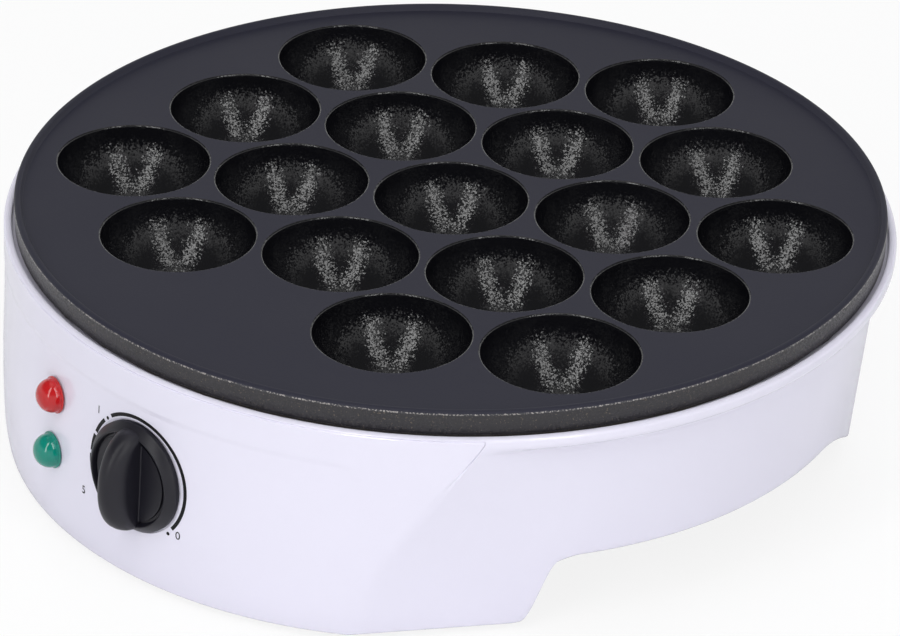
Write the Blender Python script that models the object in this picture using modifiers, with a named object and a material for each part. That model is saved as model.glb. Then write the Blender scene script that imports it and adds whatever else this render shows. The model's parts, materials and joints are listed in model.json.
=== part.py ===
"""A round electric takoyaki maker: a cast plate of half-round cups on a moulded casing with a dial.

Metres, +Z up. Every piece is modelled round the plate's axis, with the dial at azimuth 0, and
hangs on one empty that turns the casing's middle to the front (-Y) and puts the origin under
the middle of the whole object. Azimuths grow from the front towards the right. Heights are
measured from the table that the rubber feet stand on.
"""
import math

import bmesh
import bpy
from mathutils import Matrix, Vector

# Driving sizes of the whole appliance
foot_lift = 0.0019             # how far the rubber feet hold the casing off the table
plate_seat = 0.0065            # top of the casing's rim to the flat top of the plate
wiring_space = 0.0082          # bottom cover to the underside of the pan, for the leads

# Shared clearances
touch_gap = 0.0003             # what seated pieces keep between them
cut_overrun = 0.0010           # how far every cut runs past the face it cuts
sheet = 0.0008                 # steel sheet
hole_clearance = 0.0003        # radial, between a fastener and its hole

# Cooking plate
plate_thickness = 0.0032
plate_skirt = 0.00515          # flat top to the low edge of the side
rim_height = 0.00144
rim_width = 0.0017
rim_slope = 0.0006
skirt_width = 0.0030
cup_radius = 0.02019
cup_land = 0.00282             # narrowest strip of the flat between two cups
cup_pitch = 2 * cup_radius + cup_land
cup_drop = 0.0012              # how far the outside of a cup is centred below the plate's top
cup_wall = 0.00121
cup_outer_radius = cup_radius + cup_wall
cup_rows = 2                   # rows of cups on each side of the middle row
plate_margin = 0.00849         # outermost cups to the plate's edge
plate_radius = cup_rows * cup_pitch + cup_radius + plate_margin
sensor_pad_radius = 0.0090
sensor_pad_depth = 0.0090      # below the plate's flat top
stud_boss_radius = 0.0043
stud_boss_depth = 0.0140
clamp_boss_radius = 0.0030

# Casing
lip_overhang = 0.00272         # how far the casing's lip stands out past the plate
lip_radius = plate_radius + lip_overhang
plate_clearance = 0.0006       # plate's edge to the rim that stands round it
rim_inner_radius = plate_radius + plate_clearance
rim_lift = 0.0016              # how far the rim stands above the ledge under the plate
lip_round_width = 0.0009
lip_flat_radius = lip_radius - lip_round_width
lip_round_drop = 0.0009        # rim top to the widest line of the lip
lip_under_drop = 0.0025
groove_drop = 0.0052           # rim top to the foot of the groove under the lip
groove_depth = 0.0041          # how far the wall stands in under the lip
wall_draft = 0.0052            # how far the wall leans in towards its bottom edge
wall_top_radius = lip_radius - groove_depth
wall_bottom_radius = wall_top_radius - wall_draft
wall_thickness = 0.0023
ledge_width = 0.0017           # how far the ledge stands in from the wall's inner face
ledge_inner_radius = wall_top_radius - wall_thickness - ledge_width
ledge_thickness = 0.0024
arch_height = 0.0195           # bottom edge of the feet up to the edge of a side arch
arch_front_low, arch_front_high = 61.6, 66.3     # degrees from the panel's middle
arch_toe_low, arch_toe_high = 60.0, 69.5         # where the front flank's soft ends run out
arch_toe_share = 0.25          # how much of the front flank's rise its soft ends take
arch_rear_high, arch_rear_low = 113.0, 141.0
casing_turn = -10.0            # degrees that the casing's middle lies left of the dial
panel_half_angles = (55.6, 49.4, 40.5, 39.5)           # degrees, from top to bottom
panel_middle_swell = (0.0, -0.0001, 0.0031, 0.0019)    # from the lip's radius, top to bottom
panel_side_swell = (0.0, 0.0001, 0.0009, -0.0006)      # the same nearer the panel's edges
panel_swell_angle = 40.0       # where the side's swell holds
panel_foot_inset = 0.0005      # how far the panel draws in at its bottom edge
panel_foot_height = 0.0070

# Feet
foot_post_radius = 0.0070
foot_post_inset = 0.0081       # casing's bottom edge to the middle of a post
foot_pad_radius = 0.0052
foot_pad_recess = 0.0016
foot_stem_radius = 0.0022
foot_stem_length = 0.0050
foot_front_angle, foot_rear_angle = 48.0, 150.0

# Bottom cover
cover_thickness = 0.0015
cover_lift = 0.0006            # how far the cover stays above the arches' edges
cover_top = foot_lift + arch_height + cover_thickness + cover_lift
cover_clearance = 0.0005
tray_rise = 0.0085             # bottom edge of the feet to the tray's floor
tray_floor = foot_lift + tray_rise
tray_depth = 0.0195            # step between cover and front tray to the wall's bottom edge
tray_rear = wall_bottom_radius - tray_depth
vent_length, vent_width, vent_pitch = 0.0260, 0.0030, 0.0080
vent_count = 5
cover_screw_inset = 0.0095     # wall's bottom edge to the middle of a screw
cover_screw_circle = wall_bottom_radius - cover_screw_inset
cover_screw_front_angle, cover_screw_rear_angle = 72.0, 126.0
cover_screw_radius = 0.0016
cover_screw_length = 0.0080
screw_head_ratio_share = 1.9
screw_boss_radius = 0.0038
screw_boss_height = 0.0110

# Reflector pan and its studs
pan_flange_clearance = 0.0006
pan_mouth_inset = 0.0023
pan_slope_width = 0.0047
pan_side_width = 0.0145
pan_flange_radius = wall_top_radius - wall_thickness - pan_flange_clearance
pan_mouth_radius = ledge_inner_radius - pan_mouth_inset
pan_knee_radius = pan_mouth_radius - pan_slope_width
pan_floor_radius = pan_knee_radius - pan_side_width
pan_knee_depth = 0.0185        # below the plate's flat top
pan_element_gap = 0.0046
stud_radius = 0.0020
stud_tail = 0.0025             # how far a stud stands out past its nut
nut_height = 0.0032
nut_width_share = 1.75
spacer_radius_share = 1.75

# Heating element
element_radius = 0.00325
element_outer_inset = 0.0064   # how far each ring lies inside the cups that it heats
element_inner_inset = 0.0032
element_outer_ring = cup_rows * cup_pitch - element_outer_inset
element_inner_ring = cup_pitch - element_inner_inset
element_start_angle, element_turn_angle, element_end_angle = 10.0, -20.0, -8.0
element_bend = 0.0080
element_terminal_inset = 0.0030
element_terminal_circle = element_outer_ring - element_terminal_inset
element_tail = 0.0020          # how far the sheath's ends stand out under the pan's floor
bushing_radius = 0.0042
bushing_height = 0.0026
pin_radius = 0.0012
pin_length = 0.0030
clamp_angles = (49.107, 169.107, 289.107)
clamp_width = 0.0080
clamp_overlap = 0.0019         # how far a strap runs past each ring of the element
clamp_sheet = 0.0010
clamp_screw_radius = 0.0015
clamp_screw_length = 0.0060

# Dial, thermostat and lamps
dial_rise = 0.0303             # bottom edge of the feet to the middle of the dial
dial_height = foot_lift + dial_rise
dial_seat_depth = 0.0010       # round flat seat for the dial, below the panel's face
dial_seat_clearance = 0.0005
knob_gap = 0.0004              # the dial's heights are counted from its seat
knob_skirt_radius = 0.0149
knob_shoulder_radius = 0.0134
knob_skirt_edge = 0.0011
knob_skirt_height = 0.0037
knob_floor_radius = 0.0123
knob_floor_height = 0.0030
knob_hollow_radius = 0.0126
knob_hollow_height = 0.0020
knob_corner = 0.0003
grip_half_length = 0.0140
grip_reach = 0.0134            # seat to the front of the grip
grip_places = (0.0036, 0.0033, 0.0026, 0.0013)         # sections on each side of its middle
grip_drops = (0.0058, 0.0036, 0.0016, 0.0003)          # how far each stays behind the front
grip_end_share = 0.35          # how much each draws in at its ends for its drop
grip_fullness = 2.2            # 2 makes each section half an ellipse, more makes it squarer
shaft_radius = 0.0030
shaft_flat = 0.0010
shaft_in_knob = 0.0108         # seat to the end of the shaft
shaft_clearance = 0.0003
clip_thickness = 0.0005
clip_width = 0.0024
clip_length = 0.0060
bush_radius = 0.0047
bush_hole_radius = 0.0050
pad_half_width, pad_half_height = 0.0155, 0.0078
pad_depth = 0.0016             # how far the moulded pad stands in from the panel's inner face
bracket_screw_offset = 0.0095
bracket_screw_radius = 0.0013
bracket_screw_length = 0.0062
thermostat_radius = 0.0078
thermostat_length = 0.0150
thermostat_disc = 0.0030
strip_width = 0.0080
strip_tab = 0.0150
strip_screw_radius = 0.0015
strip_screw_length = 0.0048
lamp_azimuths = (-16.5, -16.5)
lamp_rises = (0.0383, 0.0223)  # bottom edge of the feet to the middle of each lamp
lamp_heights = tuple(foot_lift + rise for rise in lamp_rises)
lens_radius = 0.0049
lens_reach = 0.0052
lens_stem_radius = 0.0036
lens_stem_length = 0.0052
lens_bore_radius = 0.0024
lens_bore_length = 0.0060
bulb_radius = 0.0018
bulb_length = 0.0085
retainer_radius = 0.0056
retainer_thickness = 0.0008

# Mains side
gland_rise = 0.0285
gland_height = foot_lift + gland_rise
gland_hole_radius = 0.0058
gland_flange_radius = 0.0076
gland_bore_radius = 0.0036
gland_reach = 0.0030
gland_tail = 0.0058
block_length, block_width, block_height = 0.0340, 0.0110, 0.0060
block_gap = 0.0060
wire_radius = 0.0009
lead_spacing = 0.0028          # element's pin to the middle of the lead that passes it
wire_clearance = 0.0030        # cover to the middle of a lead
wire_height = cover_top + wire_clearance
fuse_radius, fuse_length = 0.0022, 0.0130

cup_depth = cup_drop + cup_outer_radius
pan_drop = cup_depth + touch_gap + 2 * element_radius + pan_element_gap - plate_seat
cover_stack = arch_height + cover_lift + cover_thickness
casing_height = cover_stack + wiring_space + sheet + pan_drop
casing_top = foot_lift + casing_height
plate_top = casing_top + plate_seat
rim_top = casing_top + rim_lift
cup_bottom = plate_top - cup_depth
element_height = cup_bottom - touch_gap - element_radius
pan_floor_top = element_height - element_radius - pan_element_gap
pan_floor_depth = plate_top - pan_floor_top
stud_end_depth = pan_floor_depth + sheet + nut_height + stud_tail
element_end_depth = pan_floor_depth + element_tail
ledge_underside = casing_top - ledge_thickness
pad_out = -(wall_thickness + pad_depth)      # the moulded pad's face, out of the panel's skin
thermostat_out = pad_out - touch_gap - sheet - touch_gap
strip_out = thermostat_out - thermostat_length - touch_gap - sheet
grip_low = knob_hollow_height + knob_corner
casing_frame = Matrix.Rotation(math.radians(casing_turn), 4, "Z")

# Form of the casing's outer skin
def panel_half_angle(height):
    """Half the width of the control panel at a height, in degrees: it narrows as it goes down."""
    share = min(max((casing_top - height) / casing_height, 0.0), 1.0)
    return bowed(panel_half_angles, share)


def drum_radius(height):
    """The drum tapers evenly from the groove to the bottom edge."""
    top = rim_top - groove_drop
    share = (top - height) / (top - foot_lift)
    return wall_top_radius + (wall_bottom_radius - wall_top_radius) * share


def bowed(swell, share):
    """A smooth curve through the first and last of four values, drawn by the two between."""
    rest = 1 - share
    return (rest ** 3 * swell[0] + 3 * share * rest ** 2 * swell[1]
            + 3 * share ** 2 * rest * swell[2] + share ** 3 * swell[3])


def panel_radius_at(off_middle, height):
    """The panel leans out as it goes down, most at its middle, and draws in at its foot."""
    share = min(max((casing_top - height) / casing_height, 0.0), 1.0)
    side = bowed(panel_side_swell, share)
    swell = bowed(panel_middle_swell, share) - side
    foot = max(0.0, 1 - (height - foot_lift) / panel_foot_height)
    return (lip_radius + side + swell * (1 - (off_middle / panel_swell_angle) ** 2)
            - panel_foot_inset * foot ** 2)


def panel_lean(off_middle, height, reach):
    """How far the panel's skin faces upward at a place, as an angle over a reach up and down."""
    low = panel_radius_at(off_middle, height - reach)
    high = panel_radius_at(off_middle, height + reach)
    return math.atan2(low - high, 2 * reach)


def skin_radius(azimuth, height, drum):
    """Panel, then a flat that leaves its edge and runs into the drum, then the drum."""
    off_middle = abs((azimuth - casing_turn + 180) % 360 - 180)
    edge = panel_half_angle(height)
    if off_middle <= edge:
        return max(panel_radius_at(off_middle, height), drum)
    panel = max(panel_radius_at(edge, height), drum)
    meets = edge + math.degrees(math.acos(min(1.0, drum / panel)))
    if off_middle < meets:
        return drum / math.cos(math.radians(meets - off_middle))
    return drum


dial_face = panel_radius_at(abs(casing_turn), dial_height)
dial_lean = panel_lean(abs(casing_turn), dial_height, knob_skirt_radius)


def grip_sections():
    """Upright sections across the dial's grip, as places across, up and out of the seat."""
    steps = 14
    power = 2 / grip_fullness
    places = [-across for across in grip_places] + list(reversed(grip_places))
    drops = list(grip_drops) + list(reversed(grip_drops))
    sections = []
    for across, drop in zip(places, drops):
        half = grip_half_length - drop * grip_end_share
        rise = grip_reach - drop - grip_low
        section = []
        for step in range(steps + 1):
            turn = math.pi * step / steps
            along = math.copysign(abs(math.cos(turn)) ** power, math.cos(turn))
            section.append((across, half * along, grip_low + rise * abs(math.sin(turn)) ** power))
        sections.append(section)
    return sections


def forward_of_axis(across, up, out):
    """How far in front of the plate's axis a place on the dial lies."""
    level = (dial_face + (out - dial_seat_depth) * math.cos(dial_lean) - up * math.sin(dial_lean))
    turn = math.radians(casing_turn)
    return level * math.cos(turn) + across * math.sin(turn)


front_reach = max(forward_of_axis(*place) for section in grip_sections() for place in section)
axis_offset = (front_reach - lip_radius) / 2



def clear_scene():
    for thing in list(bpy.data.objects):
        bpy.data.objects.remove(thing, do_unlink=True)


clear_scene()
parts = bpy.data.collections.new("takoyaki_maker")
cutters = bpy.data.collections.new("cutters")
bpy.context.scene.collection.children.link(parts)
bpy.context.scene.collection.children.link(cutters)
stand = bpy.data.objects.new("appliance_axis", None)
stand.location = (0, axis_offset, 0)
stand.rotation_euler = (0, 0, math.radians(-casing_turn))
parts.objects.link(stand)


def material(name, colour, roughness, metallic=0.0, alpha=1.0):
    made = bpy.data.materials.new(name)
    made.use_nodes = True
    shader = made.node_tree.nodes["Principled BSDF"]
    shader.inputs["Base Color"].default_value = (*colour, 1.0)
    shader.inputs["Roughness"].default_value = roughness
    shader.inputs["Metallic"].default_value = metallic
    shader.inputs["Alpha"].default_value = alpha
    return made


white_plastic = material("white_plastic", (0.76, 0.74, 0.86), 0.22)
black_coating = material("black_coating", (0.030, 0.030, 0.038), 0.45)
black_plastic = material("black_plastic", (0.012, 0.012, 0.016), 0.38)
red_lens = material("red_lens", (0.62, 0.02, 0.02), 0.12)
green_lens = material("green_lens", (0.00, 0.28, 0.20), 0.12)
bare_steel = material("bare_steel", (0.55, 0.55, 0.56), 0.35, 1.0)
bright_sheet = material("bright_sheet", (0.72, 0.72, 0.74), 0.22, 1.0)
element_sheath = material("element_sheath", (0.22, 0.21, 0.20), 0.50, 1.0)
ceramic = material("ceramic", (0.80, 0.77, 0.70), 0.55)
brass = material("brass", (0.78, 0.60, 0.28), 0.30, 1.0)
rubber = material("rubber", (0.05, 0.05, 0.05), 0.80)
gasket = material("gasket", (0.10, 0.09, 0.08), 0.85)
grey_plastic = material("grey_plastic", (0.10, 0.10, 0.11), 0.55)
bulb_glass = material("bulb_glass", (0.95, 0.55, 0.30), 0.05)
brown_wire = material("brown_wire", (0.20, 0.07, 0.03), 0.55)
blue_wire = material("blue_wire", (0.03, 0.12, 0.42), 0.55)
green_wire = material("green_wire", (0.16, 0.38, 0.06), 0.55)


def add(name, mesh, finish, collection=parts):
    """Makes an object from a mesh and hangs it on the appliance's axis."""
    thing = bpy.data.objects.new(name, mesh)
    collection.objects.link(thing)
    thing.parent = stand
    if finish:
        mesh.materials.clear()
        mesh.materials.append(finish)
    return thing


def hide(cutter):
    cutter.hide_render = True
    cutter.display_type = "WIRE"
    return cutter


def boolean(target, tool, operation="DIFFERENCE"):
    change = target.modifiers.new(operation.lower(), "BOOLEAN")
    change.operation = operation
    change.solver = "EXACT"
    change.object = tool
    return hide(tool)


def bake(thing):
    """The object's evaluated mesh as a mesh of its own; the object is removed."""
    bpy.context.view_layer.update()
    graph = bpy.context.evaluated_depsgraph_get()
    mesh = bpy.data.meshes.new_from_object(thing.evaluated_get(graph))
    work = bmesh.new()
    work.from_mesh(mesh)
    bmesh.ops.remove_doubles(work, verts=work.verts, dist=1e-6)
    work.to_mesh(mesh)
    work.free()
    bpy.data.objects.remove(thing, do_unlink=True)
    return mesh


def smooth(thing, degrees=35.0):
    thing.data.shade_smooth()
    thing.data.set_sharp_from_angle(angle=math.radians(degrees))


def turned_mesh(profile, steps, closed=True):
    """Turns a profile of (radius, height) points about Z; it runs down the outer side."""
    mesh = bpy.data.meshes.new("profile")
    count = len(profile)
    edges = [(i, i + 1) for i in range(count - 1)]
    touches_axis = profile[0][0] == 0 and profile[-1][0] == 0
    if closed and not touches_axis:
        edges.append((count - 1, 0))
    mesh.from_pydata([(radius, 0, height) for radius, height in profile], edges, [])
    thing = bpy.data.objects.new("profile", mesh)
    cutters.objects.link(thing)
    screw = thing.modifiers.new("turn", "SCREW")
    screw.axis = "Z"
    screw.angle = math.tau
    screw.steps = steps
    screw.render_steps = steps
    screw.use_merge_vertices = True
    screw.merge_threshold = 1e-6
    return bake(thing)


def turned(name, profile, finish, steps=48, collection=parts):
    thing = add(name, turned_mesh(profile, steps), finish, collection)
    smooth(thing)
    return thing


def rod_mesh(radius, length, segments=12):
    """A cylinder that stands on the origin."""
    work = bmesh.new()
    lift = Matrix.Translation((0, 0, length / 2))
    bmesh.ops.create_cone(work, cap_ends=True, segments=segments, radius1=radius,
                          radius2=radius, depth=length, matrix=lift)
    mesh = bpy.data.meshes.new("rod")
    work.to_mesh(mesh)
    work.free()
    return mesh


def box_mesh(low, high):
    work = bmesh.new()
    bmesh.ops.create_cube(work, size=1)
    low, high = Vector(low), Vector(high)
    middle = (low + high) / 2
    for corner in work.verts:
        for axis in range(3):
            corner.co[axis] = middle[axis] + corner.co[axis] * (high[axis] - low[axis])
    mesh = bpy.data.meshes.new("box")
    work.to_mesh(mesh)
    work.free()
    return mesh


def box(name, low, high, finish=None, collection=parts):
    return add(name, box_mesh(low, high), finish, collection)


def copies(mesh, placements):
    """One mesh with a copy of the given one at each placement matrix."""
    work = bmesh.new()
    for placement in placements:
        piece = mesh.copy()
        piece.transform(placement)
        work.from_mesh(piece)
        bpy.data.meshes.remove(piece)
    joined = bpy.data.meshes.new("copies")
    work.to_mesh(joined)
    work.free()
    return joined


def repeat(name, mesh, placements, finish):
    """One object for each placement; they share one mesh."""
    mesh.shade_smooth()
    mesh.set_sharp_from_angle(angle=math.radians(35.0))
    for index, placement in enumerate(placements, start=1):
        thing = add(f"{name}_{index}", mesh, finish)
        thing.matrix_local = placement


def prism_mesh(outline, low, high):
    """A flat outline of (x, y) points, filled and raised from low to high."""
    curve = bpy.data.curves.new("outline", "CURVE")
    curve.dimensions = "2D"
    curve.fill_mode = "BOTH"
    curve.extrude = (high - low) / 2
    spline = curve.splines.new("POLY")
    spline.points.add(len(outline) - 1)
    for point, (x, y) in zip(spline.points, outline):
        point.co = (x, y, 0, 1)
    spline.use_cyclic_u = True
    thing = bpy.data.objects.new("outline", curve)
    cutters.objects.link(thing)
    mesh = bake(thing)
    mesh.transform(Matrix.Translation((0, 0, (low + high) / 2)))
    return mesh


def tube(name, points, radius, finish):
    curve = bpy.data.curves.new(name, "CURVE")
    curve.dimensions = "3D"
    curve.bevel_depth = radius
    curve.bevel_resolution = 2
    curve.use_fill_caps = True
    spline = curve.splines.new("POLY")
    spline.points.add(len(points) - 1)
    for point, place in zip(spline.points, points):
        point.co = (*place, 1)
    thing = bpy.data.objects.new(name, curve)
    parts.objects.link(thing)
    thing.parent = stand
    curve.materials.append(finish)
    return thing


def polar(radius, azimuth, height=0.0):
    """The place at a radius and an azimuth in degrees from the front, right-handed to +X."""
    turn = math.radians(azimuth)
    return Vector((radius * math.sin(turn), -radius * math.cos(turn), height))


def upright(radius, azimuth, height):
    return Matrix.Translation(polar(radius, azimuth, height))


def facing(radius, azimuth, height):
    """A frame whose +Z points outward at that azimuth and whose +Y points up."""
    out = polar(1, azimuth)
    up = Vector((0, 0, 1))
    side = up.cross(out)
    frame = Matrix((side, up, out)).transposed().to_4x4()
    return Matrix.Translation(polar(radius, azimuth, height)) @ frame


def on_panel(azimuth, height, lean, out=0.0):
    """A frame on the panel's skin, or so far out of it: +Z out, leaning by an angle, +Y up."""
    reach = panel_radius_at(abs(azimuth - casing_turn), height)
    return (facing(reach, azimuth, height) @ Matrix.Rotation(-lean, 4, "X")
            @ Matrix.Translation((0, 0, out)))


def at_dial(out=0.0):
    return on_panel(0, dial_height, dial_lean, out)


def out_of_seat(mesh):
    """Turns a shape made along +Z from the dial's seat to stand out of it."""
    mesh.transform(at_dial(-dial_seat_depth))
    return mesh


def lofted_mesh(sections):
    """A closed body through a row of outlines with as many points each."""
    work = bmesh.new()
    rows = [[work.verts.new(place) for place in section] for section in sections]
    for here, there in zip(rows, rows[1:]):
        for index in range(len(here)):
            after = (index + 1) % len(here)
            work.faces.new((here[index], here[after], there[after], there[index]))
    work.faces.new(rows[0])
    work.faces.new(rows[-1])
    bmesh.ops.triangulate(work, faces=[face for face in work.faces if len(face.verts) > 4])
    bmesh.ops.recalc_face_normals(work, faces=work.faces)
    mesh = bpy.data.meshes.new("lofted")
    work.to_mesh(mesh)
    work.free()
    return mesh


def bend_path(corners, radius, steps=3):
    """Rounds the corners of a path of points with short curves."""
    corners = [Vector(corner) for corner in corners]
    path = [corners[0]]
    for before, corner, after in zip(corners, corners[1:], corners[2:]):
        reach = min(radius, (corner - before).length / 2, (after - corner).length / 2)
        start = corner + (before - corner).normalized() * reach
        end = corner + (after - corner).normalized() * reach
        for step in range(steps + 1):
            share = step / steps
            first = start.lerp(corner, share)
            second = corner.lerp(end, share)
            path.append(first.lerp(second, share))
    path.append(corners[-1])
    return path


def screw_mesh(radius, length, segments=8):
    """A pan-head screw that hangs down from its seat at the origin, head up."""
    head = radius * screw_head_ratio_share
    crown = radius * 0.7
    profile = [(0, radius), (crown, radius), (head, radius / 2), (head, 0),
               (radius, 0), (radius, -length), (0, -length)]
    return turned_mesh(profile, segments)


def ease(share):
    share = min(max(share, 0.0), 1.0)
    return share * share * (3 - 2 * share)


# Lower edge of the casing
def bottom_edge(off_middle):
    """Height of the casing's lower edge: it stands on two feet, with an arch on each side."""
    flank = ease((off_middle - arch_front_low) / (arch_front_high - arch_front_low))
    toe = ease((off_middle - arch_toe_low) / (arch_toe_high - arch_toe_low))
    rise = flank + (toe - flank) * arch_toe_share
    fall = ease((off_middle - arch_rear_high) / (arch_rear_low - arch_rear_high))
    return foot_lift + arch_height * (rise - fall)


def half_columns():
    """Columns of the right half, as (from, to, share): 'edge' stands for the panel's edge."""
    runs = [(0.0, "edge", 6), ("edge", arch_toe_low, 2), (arch_toe_low, arch_front_low, 2),
            (arch_front_low, arch_front_high, 4), (arch_front_high, arch_toe_high, 1),
            (arch_toe_high, arch_rear_high, 6), (arch_rear_high, arch_rear_low, 5),
            (arch_rear_low, 180.0, 6)]
    columns = []
    for start, end, count in runs:
        columns += [(start, end, step / count) for step in range(count)]
    return columns


def column_angle(column, height):
    start, end, share = column
    edge = panel_half_angle(height)
    start = edge if start == "edge" else start
    end = edge if end == "edge" else end
    return start + (end - start) * share


def rim_profile():
    """The turned top of the casing: ledge, the rim round the plate, its lip and the groove."""
    return [(ledge_inner_radius, casing_top), (rim_inner_radius, casing_top),
            (rim_inner_radius, rim_top - touch_gap), (rim_inner_radius + touch_gap, rim_top),
            (lip_flat_radius, rim_top),
            (lip_radius - lip_round_width * 0.32, rim_top - lip_round_drop * 0.25),
            (lip_radius, rim_top - lip_round_drop), (lip_radius, rim_top - lip_under_drop),
            (lip_radius - (lip_radius - wall_top_radius) * 0.45,
             rim_top - lip_under_drop - (groove_drop - lip_under_drop) * 0.6)]


wall_shares = (0.0, 0.22, 0.46, 0.68, 0.86, 0.94, 1.0)


def casing_mesh():
    """Lofts the casing's section round the axis; each column runs down outside and up inside."""
    columns = half_columns()
    angles = columns + [(180.0, 180.0, 0.0)]
    mirrored = list(reversed(columns[1:]))
    order = [(column, 1) for column in angles] + [(column, -1) for column in mirrored]
    wall_top = rim_top - groove_drop
    work = bmesh.new()
    rings = []
    for column, side in order:
        ring = []
        for radius, height in rim_profile():
            angle = side * column_angle(column, height) + casing_turn
            reach = skin_radius(angle, height, radius) if height < casing_top else radius
            ring.append(work.verts.new(polar(reach, angle, height)))
        outside, inside = [], []
        for share in wall_shares:
            nominal = wall_top + (foot_lift - wall_top) * share
            off_middle = column_angle(column, nominal)
            height = wall_top + (bottom_edge(off_middle) - wall_top) * share
            angle = side * off_middle + casing_turn
            reach = skin_radius(angle, height, drum_radius(height))
            outside.append(work.verts.new(polar(reach, angle, height)))
            inside.append(work.verts.new(polar(reach - wall_thickness, angle, height)))
        ring += outside + list(reversed(inside))
        shoulder = inside[0].co.to_2d()
        corner = work.verts.new((shoulder.x, shoulder.y, ledge_underside))
        angle = side * column_angle(column, wall_top) + casing_turn
        ring += [corner, work.verts.new(polar(ledge_inner_radius, angle, ledge_underside))]
        rings.append(ring)
    for here, there in zip(rings, rings[1:] + rings[:1]):
        for low in range(len(here)):
            high = (low + 1) % len(here)
            work.faces.new((here[low], here[high], there[high], there[low]))
    bmesh.ops.recalc_face_normals(work, faces=work.faces)
    mesh = bpy.data.meshes.new("body_casing")
    work.to_mesh(mesh)
    work.free()
    return mesh


def screw_places():
    angles = (cover_screw_front_angle, cover_screw_rear_angle)
    return [casing_turn + side * angle for side in (1, -1) for angle in angles]


def foot_circle(azimuth):
    """The posts stand against the inside of the casing, wherever its bottom edge runs."""
    return skin_radius(azimuth, foot_lift, wall_bottom_radius) - foot_post_inset


def foot_places():
    angles = (foot_front_angle, foot_rear_angle, -foot_rear_angle, -foot_front_angle)
    return [casing_turn + angle for angle in angles]


def make_casing():
    casing = add("body_casing", casing_mesh(), white_plastic)
    post_top = cover_top - cover_thickness - touch_gap
    post_low = foot_lift + touch_gap
    posts = copies(rod_mesh(foot_post_radius, post_top - post_low, 12),
                   [upright(foot_circle(angle), angle, post_low) for angle in foot_places()])
    boolean(casing, add("foot_posts", posts, white_plastic, cutters), "UNION")
    boss_low = cover_top + touch_gap
    bosses = []
    for angle in screw_places():
        reach = skin_radius(angle, boss_low, drum_radius(boss_low)) - wall_thickness
        rib = box_mesh((-screw_boss_radius / 2, 0, 0),
                       (screw_boss_radius / 2, reach + cut_overrun - cover_screw_circle,
                        screw_boss_height))
        rib.transform(upright(cover_screw_circle, angle, boss_low)
                      @ Matrix.Rotation(math.radians(angle) + math.pi, 4, "Z"))
        bosses.append(add("screw_rib", rib, white_plastic, cutters))
    rods = copies(rod_mesh(screw_boss_radius, screw_boss_height, 12),
                  [upright(cover_screw_circle, angle, boss_low) for angle in screw_places()])
    for rib in bosses:
        boolean(casing, rib, "UNION")
    boolean(casing, add("screw_bosses", rods, white_plastic, cutters), "UNION")
    pad = box_mesh((-pad_half_width, -pad_half_height, pad_out),
                   (pad_half_width, pad_half_height, wall_thickness / 5 - wall_thickness))
    pad.transform(at_dial())
    boolean(casing, add("thermostat_pad", pad, white_plastic, cutters), "UNION")
    seat = rod_mesh(knob_skirt_radius + dial_seat_clearance, dial_seat_depth + cut_overrun, 32)
    boolean(casing, add("dial_seat", out_of_seat(seat), None, cutters))

    depth = wall_thickness + pad_depth + 2 * cut_overrun
    holes = [(bush_hole_radius, at_dial(pad_out - cut_overrun), depth)]
    for side in (-1, 1):
        frame = at_dial(pad_out - cut_overrun)
        shift = Matrix.Translation((side * bracket_screw_offset, 0, 0))
        holes.append((bracket_screw_radius + hole_clearance, frame @ shift, depth))
    for azimuth, height in zip(lamp_azimuths, lamp_heights):
        frame = at_lamp(azimuth, height) @ Matrix.Translation((0, 0, -wall_thickness - 2 * cut_overrun))
        holes.append((lens_stem_radius + hole_clearance, frame, depth))
    gland_inner = drum_radius(gland_height) - wall_thickness
    frame = facing(gland_inner - cut_overrun, 180 + casing_turn, gland_height)
    holes.append((gland_hole_radius, frame, depth))
    shapes = []
    for radius, frame, length in holes:
        shape = rod_mesh(radius, length, 16)
        shape.transform(frame)
        shapes.append(shape)
    boolean(casing, add("wall_holes", join(shapes), None, cutters))

    recess = rod_mesh(foot_pad_radius + touch_gap, foot_pad_recess + cut_overrun, 12)
    socket = rod_mesh(foot_stem_radius + touch_gap,
                      foot_pad_recess + foot_stem_length + cut_overrun + touch_gap, 8)
    low = foot_lift - cut_overrun
    places = [upright(foot_circle(angle), angle, low) for angle in foot_places()]
    boolean(casing, add("pad_recesses", copies(recess, places), None, cutters))
    boolean(casing, add("stem_sockets", copies(socket, places), None, cutters))
    bores = rod_mesh(cover_screw_radius + hole_clearance,
                     cover_screw_length + cut_overrun + touch_gap, 8)
    places = [upright(cover_screw_circle, angle, boss_low - cut_overrun)
              for angle in screw_places()]
    boolean(casing, add("boss_bores", copies(bores, places), None, cutters))
    smooth(casing, 28.0)


def join(meshes):
    work = bmesh.new()
    for mesh in meshes:
        work.from_mesh(mesh)
    joined = bpy.data.meshes.new("joined")
    work.to_mesh(joined)
    work.free()
    return joined


# Cooking plate
def cup_places():
    """A six-sided lattice of cups with its front corner left out for the thermostat."""
    places = []
    for row in range(-cup_rows, cup_rows + 1):
        for column in range(-cup_rows, cup_rows + 1):
            if abs(row + column) > cup_rows:
                continue
            x = cup_pitch * math.sqrt(3) / 2 * row
            y = cup_pitch * (column + row / 2)
            if row == 0 and column == -cup_rows:
                continue
            places.append((x, y))
    return places


def hollow_places(ring_share):
    """Places between three cups at a distance of so many hollow pitches from the axis."""
    return cup_pitch / math.sqrt(3) * ring_share


stud_circle = hollow_places(2)
stud_angles = (90.0, 210.0, 330.0)
clamp_circle = hollow_places(math.sqrt(7))


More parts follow.
